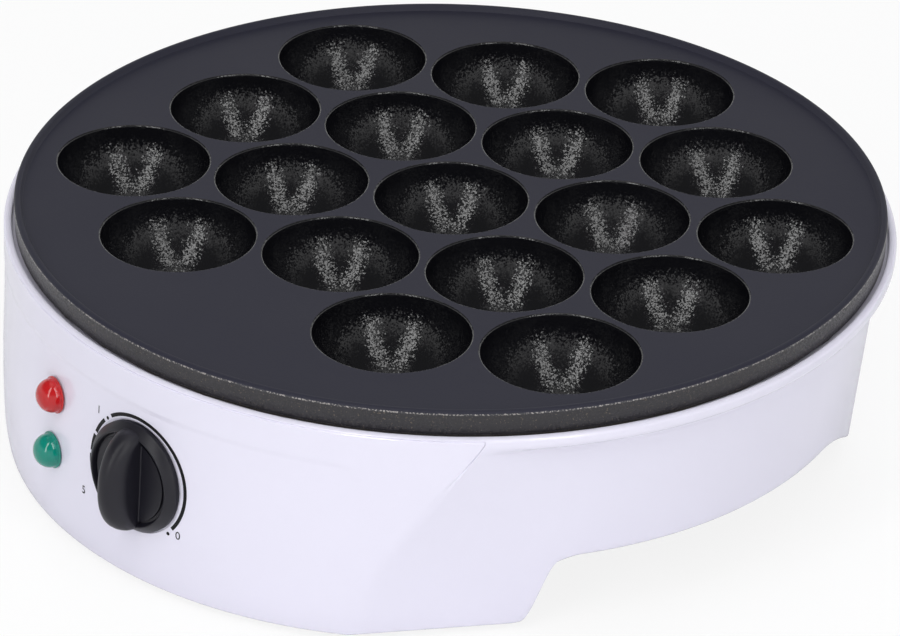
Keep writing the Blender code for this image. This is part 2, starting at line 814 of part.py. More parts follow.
def make_plate():
    profile = [(0, plate_top), (plate_radius - rim_width - rim_slope, plate_top),
               (plate_radius - rim_width, plate_top + rim_height),
               (plate_radius - touch_gap, plate_top + rim_height),
               (plate_radius, plate_top + rim_height - touch_gap),
               (plate_radius, plate_top - plate_skirt + touch_gap),
               (plate_radius - touch_gap, plate_top - plate_skirt),
               (plate_radius - skirt_width, plate_top - plate_skirt),
               (plate_radius - skirt_width - rim_slope, plate_top - plate_thickness),
               (0, plate_top - plate_thickness)]
    plate = turned("cooking_plate", profile, black_coating, 64)

    work = bmesh.new()
    bmesh.ops.create_uvsphere(work, u_segments=16, v_segments=6, radius=cup_outer_radius)
    lid = plate_top - plate_thickness / 2 - (plate_top - cup_drop)
    cut = bmesh.ops.bisect_plane(work, geom=work.verts[:] + work.edges[:] + work.faces[:],
                                 plane_co=(0, 0, lid), plane_no=(0, 0, 1), clear_outer=True)
    rim = [edge for edge in cut["geom_cut"] if isinstance(edge, bmesh.types.BMEdge)]
    bmesh.ops.contextual_create(work, geom=rim)
    bump = bpy.data.meshes.new("cup_outside")
    work.to_mesh(bump)
    work.free()
    places = [Matrix.Translation((x, y, plate_top - cup_drop)) for x, y in cup_places()]
    boolean(plate, add("cup_outsides", copies(bump, places), None, cutters), "UNION")

    lid = plate_top - plate_thickness / 2
    bosses = []
    for angle in stud_angles:
        low = plate_top - stud_boss_depth
        boss = rod_mesh(stud_boss_radius, lid - low, 14)
        boss.transform(upright(stud_circle, angle, low))
        bosses.append(boss)
    clamp_low = element_height - element_radius
    for angle in clamp_angles:
        boss = rod_mesh(clamp_boss_radius, lid - clamp_low, 14)
        boss.transform(upright(clamp_circle, angle, clamp_low))
        bosses.append(boss)
    low = plate_top - sensor_pad_depth
    boss = rod_mesh(sensor_pad_radius, lid - low, 24)
    boss.transform(upright(cup_rows * cup_pitch, 0, low))
    bosses.append(boss)
    boolean(plate, add("plate_bosses", join(bosses), None, cutters), "UNION")

    work = bmesh.new()
    bmesh.ops.create_uvsphere(work, u_segments=16, v_segments=6, radius=cup_radius)
    ball = bpy.data.meshes.new("cup_inside")
    work.to_mesh(ball)
    work.free()
    places = [Matrix.Translation((x, y, plate_top)) for x, y in cup_places()]
    boolean(plate, add("cup_insides", copies(ball, places), None, cutters))

    bores = []
    for angle in stud_angles:
        bores.append((stud_radius, upright(stud_circle, angle, plate_top - stud_boss_depth),
                      stud_boss_depth - plate_thickness))
    for angle in clamp_angles:
        bores.append((clamp_screw_radius, upright(clamp_circle, angle, clamp_low),
                      clamp_screw_length))
    pad = upright(cup_rows * cup_pitch, 0, plate_top - sensor_pad_depth)
    bores.append((strip_screw_radius, pad, strip_screw_length))
    shapes = []
    for radius, frame, depth in bores:
        shape = rod_mesh(radius + hole_clearance, depth + cut_overrun, 8)
        shape.transform(frame @ Matrix.Translation((0, 0, -cut_overrun)))
        shapes.append(shape)
    boolean(plate, add("plate_bores", join(shapes), None, cutters))
    smooth(plate, 30.0)

    ring_out = plate_radius - skirt_width / 3
    ring_in = ledge_inner_radius + skirt_width / 3
    ring_top = plate_top - plate_skirt - touch_gap
    ring_low = casing_top + touch_gap
    turned("insulating_ring", [(ring_in, ring_top), (ring_out, ring_top), (ring_out, ring_low),
                               (ring_in, ring_low)], gasket, 40)


# Heating element, its clamps and the reflector pan
def element_path():
    """One tube: the outer ring from the right terminal, back round the inner ring to the left."""
    stop = 360 + element_turn_angle
    down = [polar(element_terminal_circle, element_start_angle, plate_top - element_end_depth),
            polar(element_terminal_circle, element_start_angle, element_height)]
    margin = math.degrees(element_bend / element_outer_ring)
    first = element_start_angle + margin
    last = stop - margin
    count = 30
    outer = [polar(element_outer_ring, first + (last - first) * step / count, element_height)
             for step in range(count + 1)]
    margin = math.degrees(element_bend / element_inner_ring)
    first = stop - margin
    last = element_end_angle + margin
    count = 20
    inner = [polar(element_inner_ring, first + (last - first) * step / count, element_height)
             for step in range(count + 1)]
    corner_out = polar(element_outer_ring, stop, element_height)
    corner_in = polar(element_inner_ring, stop, element_height)
    corner_end = polar(element_inner_ring, element_end_angle, element_height)
    end = [polar(element_terminal_circle, element_end_angle, element_height),
           polar(element_terminal_circle, element_end_angle, plate_top - element_end_depth)]
    start = bend_path([down[0], down[1], outer[0]], element_bend / 2)
    turn = bend_path([outer[-1], corner_out, corner_in, inner[0]], element_bend)
    finish = bend_path([inner[-1], corner_end, end[0], end[1]], element_bend / 2)
    return start[:-1] + outer + turn[1:-1] + inner + finish[1:]


def terminal_places():
    return [(element_terminal_circle, element_start_angle),
            (element_terminal_circle, element_end_angle)]


def make_element():
    tube("heating_element", element_path(), element_radius, element_sheath)
    end = plate_top - element_end_depth
    top = end - touch_gap
    bushing = turned_mesh([(0, top), (element_radius, top), (bushing_radius, top - bushing_height / 3),
                           (bushing_radius, top - bushing_height), (0, top - bushing_height)], 16)
    places = [Matrix.Translation(polar(circle, angle)) for circle, angle in terminal_places()]
    repeat("element_bushing", bushing, places, ceramic)
    pin_top = top - bushing_height - touch_gap
    pin = rod_mesh(pin_radius, pin_length, 10)
    places = [upright(circle, angle, pin_top - pin_length) for circle, angle in terminal_places()]
    repeat("element_pin", pin, places, brass)

    strap_top = element_height - element_radius - touch_gap
    outward = element_outer_ring + element_radius + clamp_overlap - clamp_circle
    tail = clamp_circle - element_inner_ring + element_radius + clamp_overlap
    strap = box_mesh((-clamp_width / 2, -outward, strap_top - clamp_sheet),
                     (clamp_width / 2, tail, strap_top))
    hole = rod_mesh(clamp_screw_radius + hole_clearance, clamp_sheet + 2 * cut_overrun, 8)
    hole.transform(Matrix.Translation((0, 0, strap_top - clamp_sheet - cut_overrun)))
    drilled = add("drilled_strap", strap, bare_steel, cutters)
    boolean(drilled, add("clamp_hole", hole, None, cutters))
    strap = bake(drilled)
    places = [Matrix.Translation(polar(clamp_circle, angle))
              @ Matrix.Rotation(math.radians(angle), 4, "Z") for angle in clamp_angles]
    repeat("element_clamp", strap, places, bare_steel)
    screw = screw_mesh(clamp_screw_radius, clamp_screw_length)
    seat = strap_top - clamp_sheet - touch_gap
    flip = Matrix.Rotation(math.pi, 4, "X")
    places = [upright(clamp_circle, angle, seat) @ flip for angle in clamp_angles]
    repeat("clamp_screw", screw, places, bare_steel)


def make_pan():
    flange_top = ledge_underside - touch_gap
    low = pan_floor_top - sheet
    knee = plate_top - pan_knee_depth
    profile = [(0, pan_floor_top), (pan_floor_radius, pan_floor_top), (pan_knee_radius, knee),
               (pan_mouth_radius, flange_top), (pan_flange_radius, flange_top),
               (pan_flange_radius, flange_top - sheet),
               (pan_mouth_radius + sheet, flange_top - sheet),
               (pan_knee_radius + sheet, knee - sheet),
               (pan_floor_radius + sheet, low), (0, low)]
    pan = turned("reflector_pan", profile, bright_sheet, 40)
    tools = []
    for angle in stud_angles:
        hole = rod_mesh(stud_radius + hole_clearance, sheet + 2 * cut_overrun, 8)
        hole.transform(upright(stud_circle, angle, low - cut_overrun))
        tools.append(hole)
    for circle, angle in terminal_places():
        hole = rod_mesh(bushing_radius + hole_clearance, sheet + 2 * cut_overrun, 16)
        hole.transform(upright(circle, angle, low - cut_overrun))
        tools.append(hole)
    margin = hole_clearance * 2
    slot = box_mesh((-strip_width / 2 - margin, strip_rise(low), strip_out - margin),
                    (strip_width / 2 + margin, strip_rise(flange_top - 2 * sheet),
                     strip_out + sheet + margin))
    slot.transform(at_dial())
    tools.append(slot)
    boolean(pan, add("pan_holes", join(tools), None, cutters))

    stud = rod_mesh(stud_radius, stud_end_depth - plate_thickness - hole_clearance * 2, 12)
    places = [upright(stud_circle, angle, plate_top - stud_end_depth) for angle in stud_angles]
    repeat("plate_stud", stud, places, bare_steel)
    spacer_top = plate_top - stud_boss_depth - touch_gap
    spacer_low = pan_floor_top + touch_gap
    bore = stud_radius + hole_clearance
    outer = stud_radius * spacer_radius_share
    spacer = turned_mesh([(bore, spacer_top), (outer, spacer_top), (outer, spacer_low),
                          (bore, spacer_low)], 14)
    places = [Matrix.Translation(polar(stud_circle, angle)) for angle in stud_angles]
    repeat("stud_spacer", spacer, places, bare_steel)
    nut_top = low - touch_gap
    outer = stud_radius * nut_width_share
    nut = turned_mesh([(bore, nut_top), (outer, nut_top), (outer, nut_top - nut_height),
                       (bore, nut_top - nut_height)], 6)
    repeat("stud_nut", nut, places, bare_steel)


# Dial and thermostat
def strip_rise(height):
    """How far along the leaning heat strip a height lies, up from the dial's axis."""
    return (height - dial_height - strip_out * math.sin(dial_lean)) / math.cos(dial_lean)


def out_of_panel(mesh):
    """Turns a shape made along +Z from the panel's face to stand out of it at the dial."""
    mesh.transform(at_dial())
    return mesh


def make_knob():
    skirt = knob_skirt_radius
    profile = [(0, knob_floor_height), (knob_floor_radius, knob_floor_height),
               (knob_floor_radius + knob_corner, knob_skirt_height),
               (knob_shoulder_radius - knob_corner, knob_skirt_height),
               (knob_shoulder_radius, knob_skirt_height - knob_corner),
               (skirt, knob_gap + knob_skirt_edge), (skirt, knob_gap),
               (knob_hollow_radius, knob_gap), (knob_hollow_radius, knob_hollow_height),
               (shaft_radius * 2, knob_hollow_height), (shaft_radius * 2, knob_gap), (0, knob_gap)]
    knob = add("control_knob", out_of_seat(turned_mesh(profile, 32)), black_plastic)
    bar = add("knob_grip", out_of_seat(lofted_mesh(grip_sections())), None, cutters)
    boolean(knob, bar, "UNION")
    bore = rod_mesh(shaft_radius + shaft_clearance, shaft_in_knob + touch_gap + cut_overrun, 20)
    bore.transform(Matrix.Translation((0, 0, -cut_overrun)))
    boolean(knob, add("knob_bore", out_of_seat(bore), None, cutters))
    smooth(knob, 30.0)

    inner_end = thermostat_out - thermostat_disc / 2 + dial_seat_depth
    shaft = rod_mesh(shaft_radius, shaft_in_knob - inner_end, 16)
    shaft.transform(Matrix.Translation((0, 0, inner_end)))
    shaft = add("thermostat_shaft", out_of_seat(shaft), bare_steel)
    flat_from = knob_gap * 2
    flat = box_mesh((shaft_radius - shaft_flat, -shaft_radius * 2, flat_from),
                    (shaft_radius * 2, shaft_radius * 2, shaft_in_knob + cut_overrun))
    boolean(shaft, add("shaft_flat", out_of_seat(flat), None, cutters))
    smooth(shaft)
    clip_low = shaft_in_knob - clip_length - touch_gap
    clip = box_mesh((shaft_radius - shaft_flat + touch_gap, -clip_width / 2, clip_low),
                    (shaft_radius - shaft_flat + touch_gap + clip_thickness, clip_width / 2,
                     clip_low + clip_length))
    add("knob_spring_clip", out_of_seat(clip), bare_steel)


def make_thermostat():
    bracket_out = pad_out - touch_gap
    plate = box_mesh((-pad_half_width, -pad_half_height, bracket_out - sheet),
                     (pad_half_width, pad_half_height, bracket_out))
    bracket = add("thermostat_bracket", out_of_panel(plate), bare_steel)
    tools = [rod_mesh(bush_radius + hole_clearance, 3 * sheet, 20)]
    tools[0].transform(at_dial(bracket_out - 2 * sheet))
    for side in (-1, 1):
        hole = rod_mesh(bracket_screw_radius + hole_clearance, 3 * sheet, 12)
        hole.transform(at_dial(bracket_out - 2 * sheet)
                       @ Matrix.Translation((side * bracket_screw_offset, 0, 0)))
        tools.append(hole)
    boolean(bracket, add("bracket_holes", join(tools), None, cutters))

    bore = shaft_radius + shaft_clearance
    shape = [(0, -thermostat_disc), (bore, -thermostat_disc), (bore, 0), (thermostat_radius, 0)]
    discs = round(thermostat_length / thermostat_disc)
    for index in range(1, discs):
        low = -thermostat_length * index / discs
        shape += [(thermostat_radius, low + touch_gap), (thermostat_radius - touch_gap, low),
                  (thermostat_radius, low - touch_gap)]
    shape += [(thermostat_radius, -thermostat_length), (0, -thermostat_length)]
    mesh = turned_mesh(shape, 16)
    mesh.transform(at_dial(thermostat_out))
    smooth(add("thermostat_body", mesh, ceramic))

    bush_length = -dial_seat_depth - touch_gap - thermostat_out - touch_gap
    bush = turned_mesh([(shaft_radius + shaft_clearance, bush_length), (bush_radius, bush_length),
                        (bush_radius, 0), (shaft_radius + shaft_clearance, 0)], 16)
    bush.transform(at_dial(thermostat_out + touch_gap))
    smooth(add("thermostat_bush", bush, brass))
    screw = screw_mesh(bracket_screw_radius, bracket_screw_length)
    seat = touch_gap - dial_seat_depth
    places = [at_dial(seat) @ Matrix.Translation((side * bracket_screw_offset, 0, 0))
              for side in (-1, 1)]
    repeat("bracket_screw", screw, places, bare_steel)

    tab_top = plate_top - sensor_pad_depth - touch_gap
    half = strip_width / 2
    bend = Vector((0, strip_rise(tab_top - sheet / 2), strip_out + sheet))
    wall = box_mesh((-half, -thermostat_radius / 2, strip_out), (half, bend.y, bend.z))
    strip = add("heat_strip", out_of_panel(wall), bare_steel)
    pad_middle = cup_rows * cup_pitch
    tab = box("strip_tab", (-half, (at_dial() @ bend).y, tab_top - sheet),
              (half, -pad_middle + strip_tab / 2, tab_top), None, cutters)
    boolean(strip, tab, "UNION")
    hole = rod_mesh(strip_screw_radius + hole_clearance, sheet + 2 * cut_overrun, 8)
    hole.transform(upright(pad_middle, 0, tab_top - sheet - cut_overrun))
    boolean(strip, add("strip_hole", hole, None, cutters))
    screw = screw_mesh(strip_screw_radius, strip_screw_length)
    flip = Matrix.Rotation(math.pi, 4, "X")
    seat = tab_top - sheet - touch_gap
    screw.transform(upright(pad_middle, 0, seat) @ flip)
    smooth(add("strip_screw", screw, bare_steel))


# Lamps
def at_lamp(azimuth, height):
    """A frame on the panel at a lamp; the lens leans as the panel under it leans."""
    lean = panel_lean(abs(azimuth - casing_turn), height, lens_radius)
    return on_panel(azimuth, height, lean)


def make_lamp(colour, finish, azimuth, height):
    dome = []
    steps = 4
    rise = touch_gap
    for step in range(steps + 1):
        turn = math.pi / 2 * step / steps
        dome.append((lens_radius * math.sin(turn), rise + (lens_reach - rise) * math.cos(turn)))
    dome[0] = (0, lens_reach)
    profile = dome + [(lens_stem_radius, rise), (lens_stem_radius, -lens_stem_length),
                      (lens_bore_radius, -lens_stem_length),
                      (lens_bore_radius, lens_bore_length - lens_stem_length),
                      (0, lens_bore_length - lens_stem_length)]
    lens = turned_mesh(profile, 16)
    lens.transform(at_lamp(azimuth, height))
    smooth(add(f"{colour}_lamp_lens", lens, finish))
    bulb_tip = lens_bore_length - lens_stem_length - touch_gap * 2
    bulb_low = bulb_tip - bulb_length
    bulb = [(0, bulb_tip)]
    for step in range(1, 5):
        turn = math.pi / 2 * step / 4
        bulb.append((bulb_radius * math.sin(turn), bulb_tip - bulb_radius * (1 - math.cos(turn))))
    bulb += [(bulb_radius, bulb_low), (0, bulb_low)]
    mesh = turned_mesh(bulb, 8)
    mesh.transform(at_lamp(azimuth, height))
    smooth(add(f"{colour}_neon_bulb", mesh, bulb_glass))


def make_lamps():
    make_lamp("red", red_lens, lamp_azimuths[0], lamp_heights[0])
    make_lamp("green", green_lens, lamp_azimuths[1], lamp_heights[1])
    bore = lens_stem_radius + hole_clearance
    top = -wall_thickness - touch_gap - touch_gap
    ring = turned_mesh([(bore, top), (retainer_radius, top),
                        (retainer_radius, top - retainer_thickness),
                        (bore, top - retainer_thickness)], 12)
    places = [at_lamp(azimuth, height) for azimuth, height in zip(lamp_azimuths, lamp_heights)]
    repeat("lamp_retainer", ring, places, bare_steel)


# Bottom cover, feet and their fasteners
def cover_outline(heights, inset):
    """The casing's inner outline, drawn in by an inset, where it is narrowest between heights."""
    points = []
    sides = 56
    for step in range(sides):
        angle = 360 * step / sides
        reach = min(skin_radius(angle, height, drum_radius(height)) for height in heights)
        place = polar(reach - wall_thickness - inset, angle)
        points.append((place.x, place.y))
    return points


def make_cover():
    low = cover_top - cover_thickness
    cover = add("bottom_cover", prism_mesh(cover_outline((low, cover_top), cover_clearance), low, cover_top),
                grey_plastic)
    floor_low = tray_floor - cover_thickness
    reach = lip_radius + panel_middle_swell[2]
    lobe = add("tray_outside", prism_mesh(cover_outline((floor_low, cover_top), cover_clearance),
                                          floor_low, cover_top - cover_thickness / 3), None, cutters)
    behind = box("tray_rear_cut", (-reach, -tray_rear, floor_low - cut_overrun),
                 (reach, reach, cover_top + cut_overrun), None, cutters)
    behind.matrix_local = casing_frame
    boolean(lobe, behind)
    boolean(cover, lobe, "UNION")
    room = box("tray_inside", (-reach, -reach, tray_floor),
               (reach, -tray_rear - cover_thickness, cover_top + cut_overrun), None, cutters)
    room.matrix_local = casing_frame
    boolean(cover, room)
    tools = []
    for side in (-1, 1):
        for index in range(vent_count):
            y = (index - (vent_count - 1) / 2) * vent_pitch
            middle = side * vent_length
            tools.append(box_mesh((middle - vent_length / 2, y - vent_width / 2, low - cut_overrun),
                                  (middle + vent_length / 2, y + vent_width / 2,
                                   cover_top + cut_overrun)))
            tools[-1].transform(casing_frame)
    for angle in screw_places():
        hole = rod_mesh(cover_screw_radius + hole_clearance, cover_thickness + 2 * cut_overrun, 8)
        hole.transform(upright(cover_screw_circle, angle, low - cut_overrun))
        tools.append(hole)
    boolean(cover, add("cover_holes", join(tools), None, cutters))
    screw = screw_mesh(cover_screw_radius, cover_screw_length)
    flip = Matrix.Rotation(math.pi, 4, "X")
    places = [upright(cover_screw_circle, angle, low - touch_gap) @ flip
              for angle in screw_places()]
    repeat("cover_screw", screw, places, bare_steel)


def make_feet():
    top = foot_lift + foot_pad_recess - touch_gap
    bevel = touch_gap * 2
    stem_top = top + foot_stem_length
    profile = [(0, stem_top), (foot_stem_radius, stem_top), (foot_stem_radius, top),
               (foot_pad_radius, top), (foot_pad_radius, bevel), (foot_pad_radius - bevel, 0), (0, 0)]
    pad = turned_mesh(profile, 12)
    places = [Matrix.Translation(polar(foot_circle(angle), angle)) for angle in foot_places()]
    repeat("rubber_foot", pad, places, rubber)


# Mains side
def rearward(x, y, z):
    """A place given in the casing's own directions, with +Y to its rear."""
    return casing_frame @ Vector((x, y, z))


def gland_face():
    return drum_radius(gland_height + gland_flange_radius) + touch_gap


def make_gland():
    tail = -wall_thickness - gland_tail
    collar = gland_hole_radius - touch_gap
    profile = [(gland_bore_radius, gland_reach), (gland_flange_radius - touch_gap * 2, gland_reach),
               (gland_flange_radius, gland_reach - touch_gap * 2), (gland_flange_radius, 0),
               (collar, 0), (collar, tail), (gland_bore_radius, tail)]
    gland = turned_mesh(profile, 20)
    gland.transform(facing(gland_face(), 180 + casing_turn, gland_height))
    smooth(add("cord_gland", gland, black_plastic))


def make_mains():
    rear = gland_face() - wall_thickness - gland_tail - block_gap
    floor = cover_top + touch_gap
    front = rear - block_width - touch_gap
    pole = block_length / 3
    block = box("terminal_block", (-block_length / 2, rear - block_width, floor),
                (block_length / 2, rear, floor + block_height), ceramic)
    block.matrix_local = casing_frame
    head = rod_mesh(block_width / 6, touch_gap * 3, 10)
    places = [casing_frame @ Matrix.Translation((index * pole, rear - block_width / 2,
                                         floor + block_height + touch_gap))
              for index in (-1, 0, 1)]
    repeat("block_screw", head, places, brass)

    level = wire_height
    slack = front - 2 * block_gap
    right, left = [polar(circle, angle, level) for circle, angle in terminal_places()]
    run = right.x + pin_radius + lead_spacing
    fuse_rear = cup_pitch
    fuse_front = fuse_rear - fuse_length
    bend = block_gap / 2
    live = [rearward(pole, front, level), rearward(pole, slack, level),
            (run, fuse_rear + block_gap * 2, level), (run, fuse_rear + touch_gap, level)]
    tube("live_lead", bend_path(live, bend), wire_radius, brown_wire)
    fuse = rod_mesh(fuse_radius, fuse_length, 14)
    fuse.transform(Matrix.Translation((run, fuse_rear, level)) @ Matrix.Rotation(math.pi / 2, 4, "X"))
    smooth(add("thermal_fuse", fuse, ceramic))

    beside = pin_radius + touch_gap
    side = thermostat_radius + touch_gap
    inner_end = at_dial(strip_out + thermostat_length * 0.3) @ Vector((side, 0, 0))
    outer_end = at_dial(strip_out + thermostat_length * 0.75) @ Vector((side, 0, 0))
    feed = [(run, fuse_front - touch_gap, level), (run, outer_end.y + 2 * block_gap, level),
            (run, outer_end.y, outer_end.z), outer_end]
    tube("thermostat_lead", bend_path(feed, bend), wire_radius, brown_wire)
    heat = [right - Vector((0, beside, 0)), (right.x, inner_end.y + 2 * block_gap, level),
            (right.x, inner_end.y, inner_end.z), inner_end]
    tube("element_lead", bend_path(heat, bend), wire_radius, brown_wire)
    neutral = [rearward(0, front, level), rearward(0, slack, level), (left.x, cup_pitch, level),
               left + Vector((0, beside, 0))]
    tube("neutral_lead", bend_path(neutral, bend), wire_radius, blue_wire)
    nut = polar(stud_circle, stud_angles[1])
    nut_middle = pan_floor_top - sheet - touch_gap - nut_height / 2
    reach = stud_radius * nut_width_share + touch_gap
    earth = [rearward(-pole, front, level), rearward(-pole, slack, level),
             (nut.x + reach + block_gap, nut.y + block_gap, level),
             (nut.x + reach + block_gap / 2, nut.y, nut_middle),
             (nut.x + reach, nut.y, nut_middle)]
    tube("earth_lead", bend_path(earth, bend), wire_radius, green_wire)


make_casing()
make_plate()
make_element()
make_pan()
make_knob()
make_thermostat()
make_lamps()
make_cover()
make_feet()
make_gland()
make_mains()
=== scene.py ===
# %% [markdown]
# # A round takoyaki maker
# This kitchen appliance has a cast plate with half-round cups, a glossy moulded casing with a
# control panel, a dial and two pilot lamps. The solids come packed as a frame. This lesson adds
# fine surfaces where the solids are coarse, gives every piece a finish, and lights the whole.

# %% Load the solids
import json
import math

import bmesh
import bpy
from mathutils import Matrix, Vector


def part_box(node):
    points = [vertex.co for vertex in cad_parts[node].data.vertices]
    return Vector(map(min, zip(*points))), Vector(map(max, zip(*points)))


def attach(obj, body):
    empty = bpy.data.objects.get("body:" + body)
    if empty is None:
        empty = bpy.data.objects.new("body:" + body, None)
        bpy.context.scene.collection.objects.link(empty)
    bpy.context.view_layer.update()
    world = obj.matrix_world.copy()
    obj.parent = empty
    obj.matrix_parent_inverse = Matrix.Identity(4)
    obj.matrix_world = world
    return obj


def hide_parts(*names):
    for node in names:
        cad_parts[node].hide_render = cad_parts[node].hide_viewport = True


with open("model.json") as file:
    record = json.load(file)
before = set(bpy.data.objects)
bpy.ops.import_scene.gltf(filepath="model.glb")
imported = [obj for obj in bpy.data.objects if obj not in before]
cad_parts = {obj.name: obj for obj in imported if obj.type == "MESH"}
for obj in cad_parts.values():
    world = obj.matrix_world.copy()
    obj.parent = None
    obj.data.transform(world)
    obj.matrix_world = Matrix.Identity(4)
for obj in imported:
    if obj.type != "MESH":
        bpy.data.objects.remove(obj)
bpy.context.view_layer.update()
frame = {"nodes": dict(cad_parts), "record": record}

# %% [markdown]
# ## Where things are
# Nearly everything here is round one upright axis, so places are given as a radius, an azimuth
# and a height. The azimuth is 0 at the middle of the control panel and grows to the right. The
# axis and the heights are read from the solids, so the surfaces can't drift off them.

# %% The axis and the main heights
MM = 0.001
plate_low, plate_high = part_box("cooking_plate")
axis_x = (plate_low[0] + plate_high[0]) / 2
axis_y = (plate_low[1] + plate_high[1]) / 2
axis = Vector((axis_x, axis_y, 0))
rim_height = 1.44 * MM
plate_top = plate_high[2] - rim_height
casing_low, casing_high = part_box("body_casing")
rim_top = casing_high[2]
rim_lift = 1.6 * MM
casing_top = rim_top - rim_lift
foot_lift = casing_low[2]
dial_joint = frame["record"]["behaviour"]["joints"][0]
dial_height = dial_joint["pos_m"][2]
dial_azimuth = 10.0


def polar(radius, azimuth, height):
    turn = math.radians(azimuth)
    return Vector((axis_x + radius * math.sin(turn), axis_y - radius * math.cos(turn), height))


def facing(radius, azimuth, height, lean):
    """A frame on the panel: +Z out and up by the lean, +X to the reader's right."""
    turn = math.radians(azimuth)
    level = math.cos(lean)
    out = Vector((level * math.sin(turn), -level * math.cos(turn), math.sin(lean)))
    right = Vector((math.cos(turn), math.sin(turn), 0))
    turned = Matrix((right, out.cross(right), out)).transposed().to_4x4()
    return Matrix.Translation(polar(radius, azimuth, height)) @ turned


print("axis:", axis_x, axis_y, "plate top:", plate_top, "dial height:", dial_height)

# %% [markdown]
# ## Two ways to make a surface
# A loft joins a row of rings point by point. A turned piece is a loft whose rings are circles,
# which a profile of radius and height describes. Both are written once here, because the casing,
# the cups, the lamps and the dial's skirt are all one or the other.

# %% Loft and turn
def add_object(name, data):
    thing = bpy.data.objects.new(name, data)
    bpy.context.scene.collection.objects.link(thing)
    return thing


def new_piece(name, work, sharp=32.0):
    bmesh.ops.recalc_face_normals(work, faces=work.faces)
    mesh = bpy.data.meshes.new(name)
    work.to_mesh(mesh)
    work.free()
    mesh.shade_smooth()
    mesh.set_sharp_from_angle(angle=math.radians(sharp))
    return add_object(name, mesh)


def loft(work, rings, close_rows=False):
    """Adds faces between neighbouring rings; each ring is closed, and may be one point."""
    rows = [[work.verts.new(point) for point in ring] for ring in rings]
    pairs = list(zip(rows, rows[1:]))
    if close_rows:
        pairs.append((rows[-1], rows[0]))
    for upper, lower in pairs:
        count = max(len(upper), len(lower))
        for index in range(count):
            after = (index + 1) % count
            if len(upper) == 1:
                work.faces.new((upper[0], lower[index], lower[after]))
            elif len(lower) == 1:
                work.faces.new((upper[index], lower[0], upper[after]))
            else:
                work.faces.new((upper[index], lower[index], lower[after], upper[after]))


def circle(radius, height, steps):
    if radius == 0:
        return [Vector((0, 0, height))]
    return [Vector((radius * math.cos(math.tau * step / steps),
                    radius * math.sin(math.tau * step / steps), height)) for step in range(steps)]


def turn_profile(work, profile, steps, place):
    rings = [[place @ point for point in circle(radius, height, steps)]
             for radius, height in profile]
    loft(work, rings)


def quarter(centre, radius, start, end, steps):
    """Points along an arc in (radius, height), by angle in degrees from +radius."""
    points = []
    for step in range(steps + 1):
        angle = math.radians(start + (end - start) * step / steps)
        points.append((centre[0] + radius * math.cos(angle), centre[1] + radius * math.sin(angle)))
    return points


print("helpers ready")

# %% [markdown]
# ## Small helpers
# A smooth step rounds every change of form here, the middle of a solid's box tells where a screw
# or a pad stands, and a curve or a Boolean becomes a plain mesh once its shown form is asked for.

# %% Step, middle and mesh
def between(low, high, value):
    share = min(max((value - low) / (high - low), 0.0), 1.0)
    return share * share * (3 - 2 * share)


def node_middle(name, height=0.0):
    low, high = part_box(name)
    return Vector(((low[0] + high[0]) / 2, (low[1] + high[1]) / 2, height))


def shown_mesh(thing):
    graph = bpy.context.evaluated_depsgraph_get()
    return bpy.data.meshes.new_from_object(thing.evaluated_get(graph))


print("middle of the plate:", node_middle("cooking_plate", plate_top))

# %% [markdown]
# ## The form of the casing
# The real casing is one moulding. Its front is the control panel, a round face that leans out as
# it goes down and narrows between two creases. Behind the creases the wall leans in under a
# rounded lip. A flat runs from each crease into the wall, sharp at the top and soft at the bottom.
# Written as functions of azimuth and height, these rules give one surface with no seams.

# %% Panel, flats and wall
lip_radius = 117.8 * MM
groove_depth = 4.1 * MM
wall_draft = 5.2 * MM
wall_top_radius = lip_radius - groove_depth
wall_bottom_radius = wall_top_radius - wall_draft
wall_thickness = 2.3 * MM
groove_drop = 5.2 * MM
groove_round, groove_round_height = 0.5 * MM, 2.2 * MM
middle_swell = (0.0, -0.1 * MM, 3.1 * MM, 1.9 * MM)
side_swell = (0.0, 0.1 * MM, 0.9 * MM, -0.6 * MM)
swell_angle = 40.0
panel_foot_inset = 0.5 * MM
panel_foot_height = 7.0 * MM
arch_height = 19.6 * MM
half_angles = (55.6, 49.4, 40.5, 39.5)
front_flank, front_toe, toe_share = (61.6, 66.3), (60.0, 69.5), 0.25
rear_flank = (113.0, 141.0)
casing_height = casing_top - foot_lift


def wall_radius(height):
    top = rim_top - groove_drop
    share = (top - height) / (top - foot_lift)
    hollow = max(0.0, 1 - (top - height) / groove_round_height)
    straight = wall_top_radius + (wall_bottom_radius - wall_top_radius) * share
    return straight + groove_round * hollow ** 2


def panel_share(height):
    return min(max((casing_top - height) / casing_height, 0.0), 1.0)


def bowed(swell, share):
    """A smooth curve through four values, from the panel's top to its bottom."""
    rest = 1 - share
    return (rest ** 3 * swell[0] + 3 * share * rest ** 2 * swell[1]
            + 3 * share ** 2 * rest * swell[2] + share ** 3 * swell[3])


def panel_half_angle(height):
    return bowed(half_angles, panel_share(height))


def panel_radius(off_middle, height):
    side = bowed(side_swell, panel_share(height))
    swell = bowed(middle_swell, panel_share(height)) - side
    foot = max(0.0, 1 - (height - foot_lift) / panel_foot_height)
    middle_share = 1 - (off_middle / swell_angle) ** 2
    return lip_radius + side + swell * middle_share - panel_foot_inset * foot ** 2


def panel_lean(off_middle, height, reach):
    low = panel_radius(off_middle, height - reach)
    high = panel_radius(off_middle, height + reach)
    return math.atan2(low - high, 2 * reach)


def skin_radius(off_middle, height, wall):
    """The outside: the panel between the creases, then a flat that runs into the wall."""
    edge = panel_half_angle(height)
    if off_middle <= edge:
        return max(panel_radius(off_middle, height), wall)
    panel = max(panel_radius(edge, height), wall)
    meets = edge + math.degrees(math.acos(min(1.0, wall / panel)))
    if off_middle < meets:
        return wall / math.cos(math.radians(meets - off_middle))
    return wall


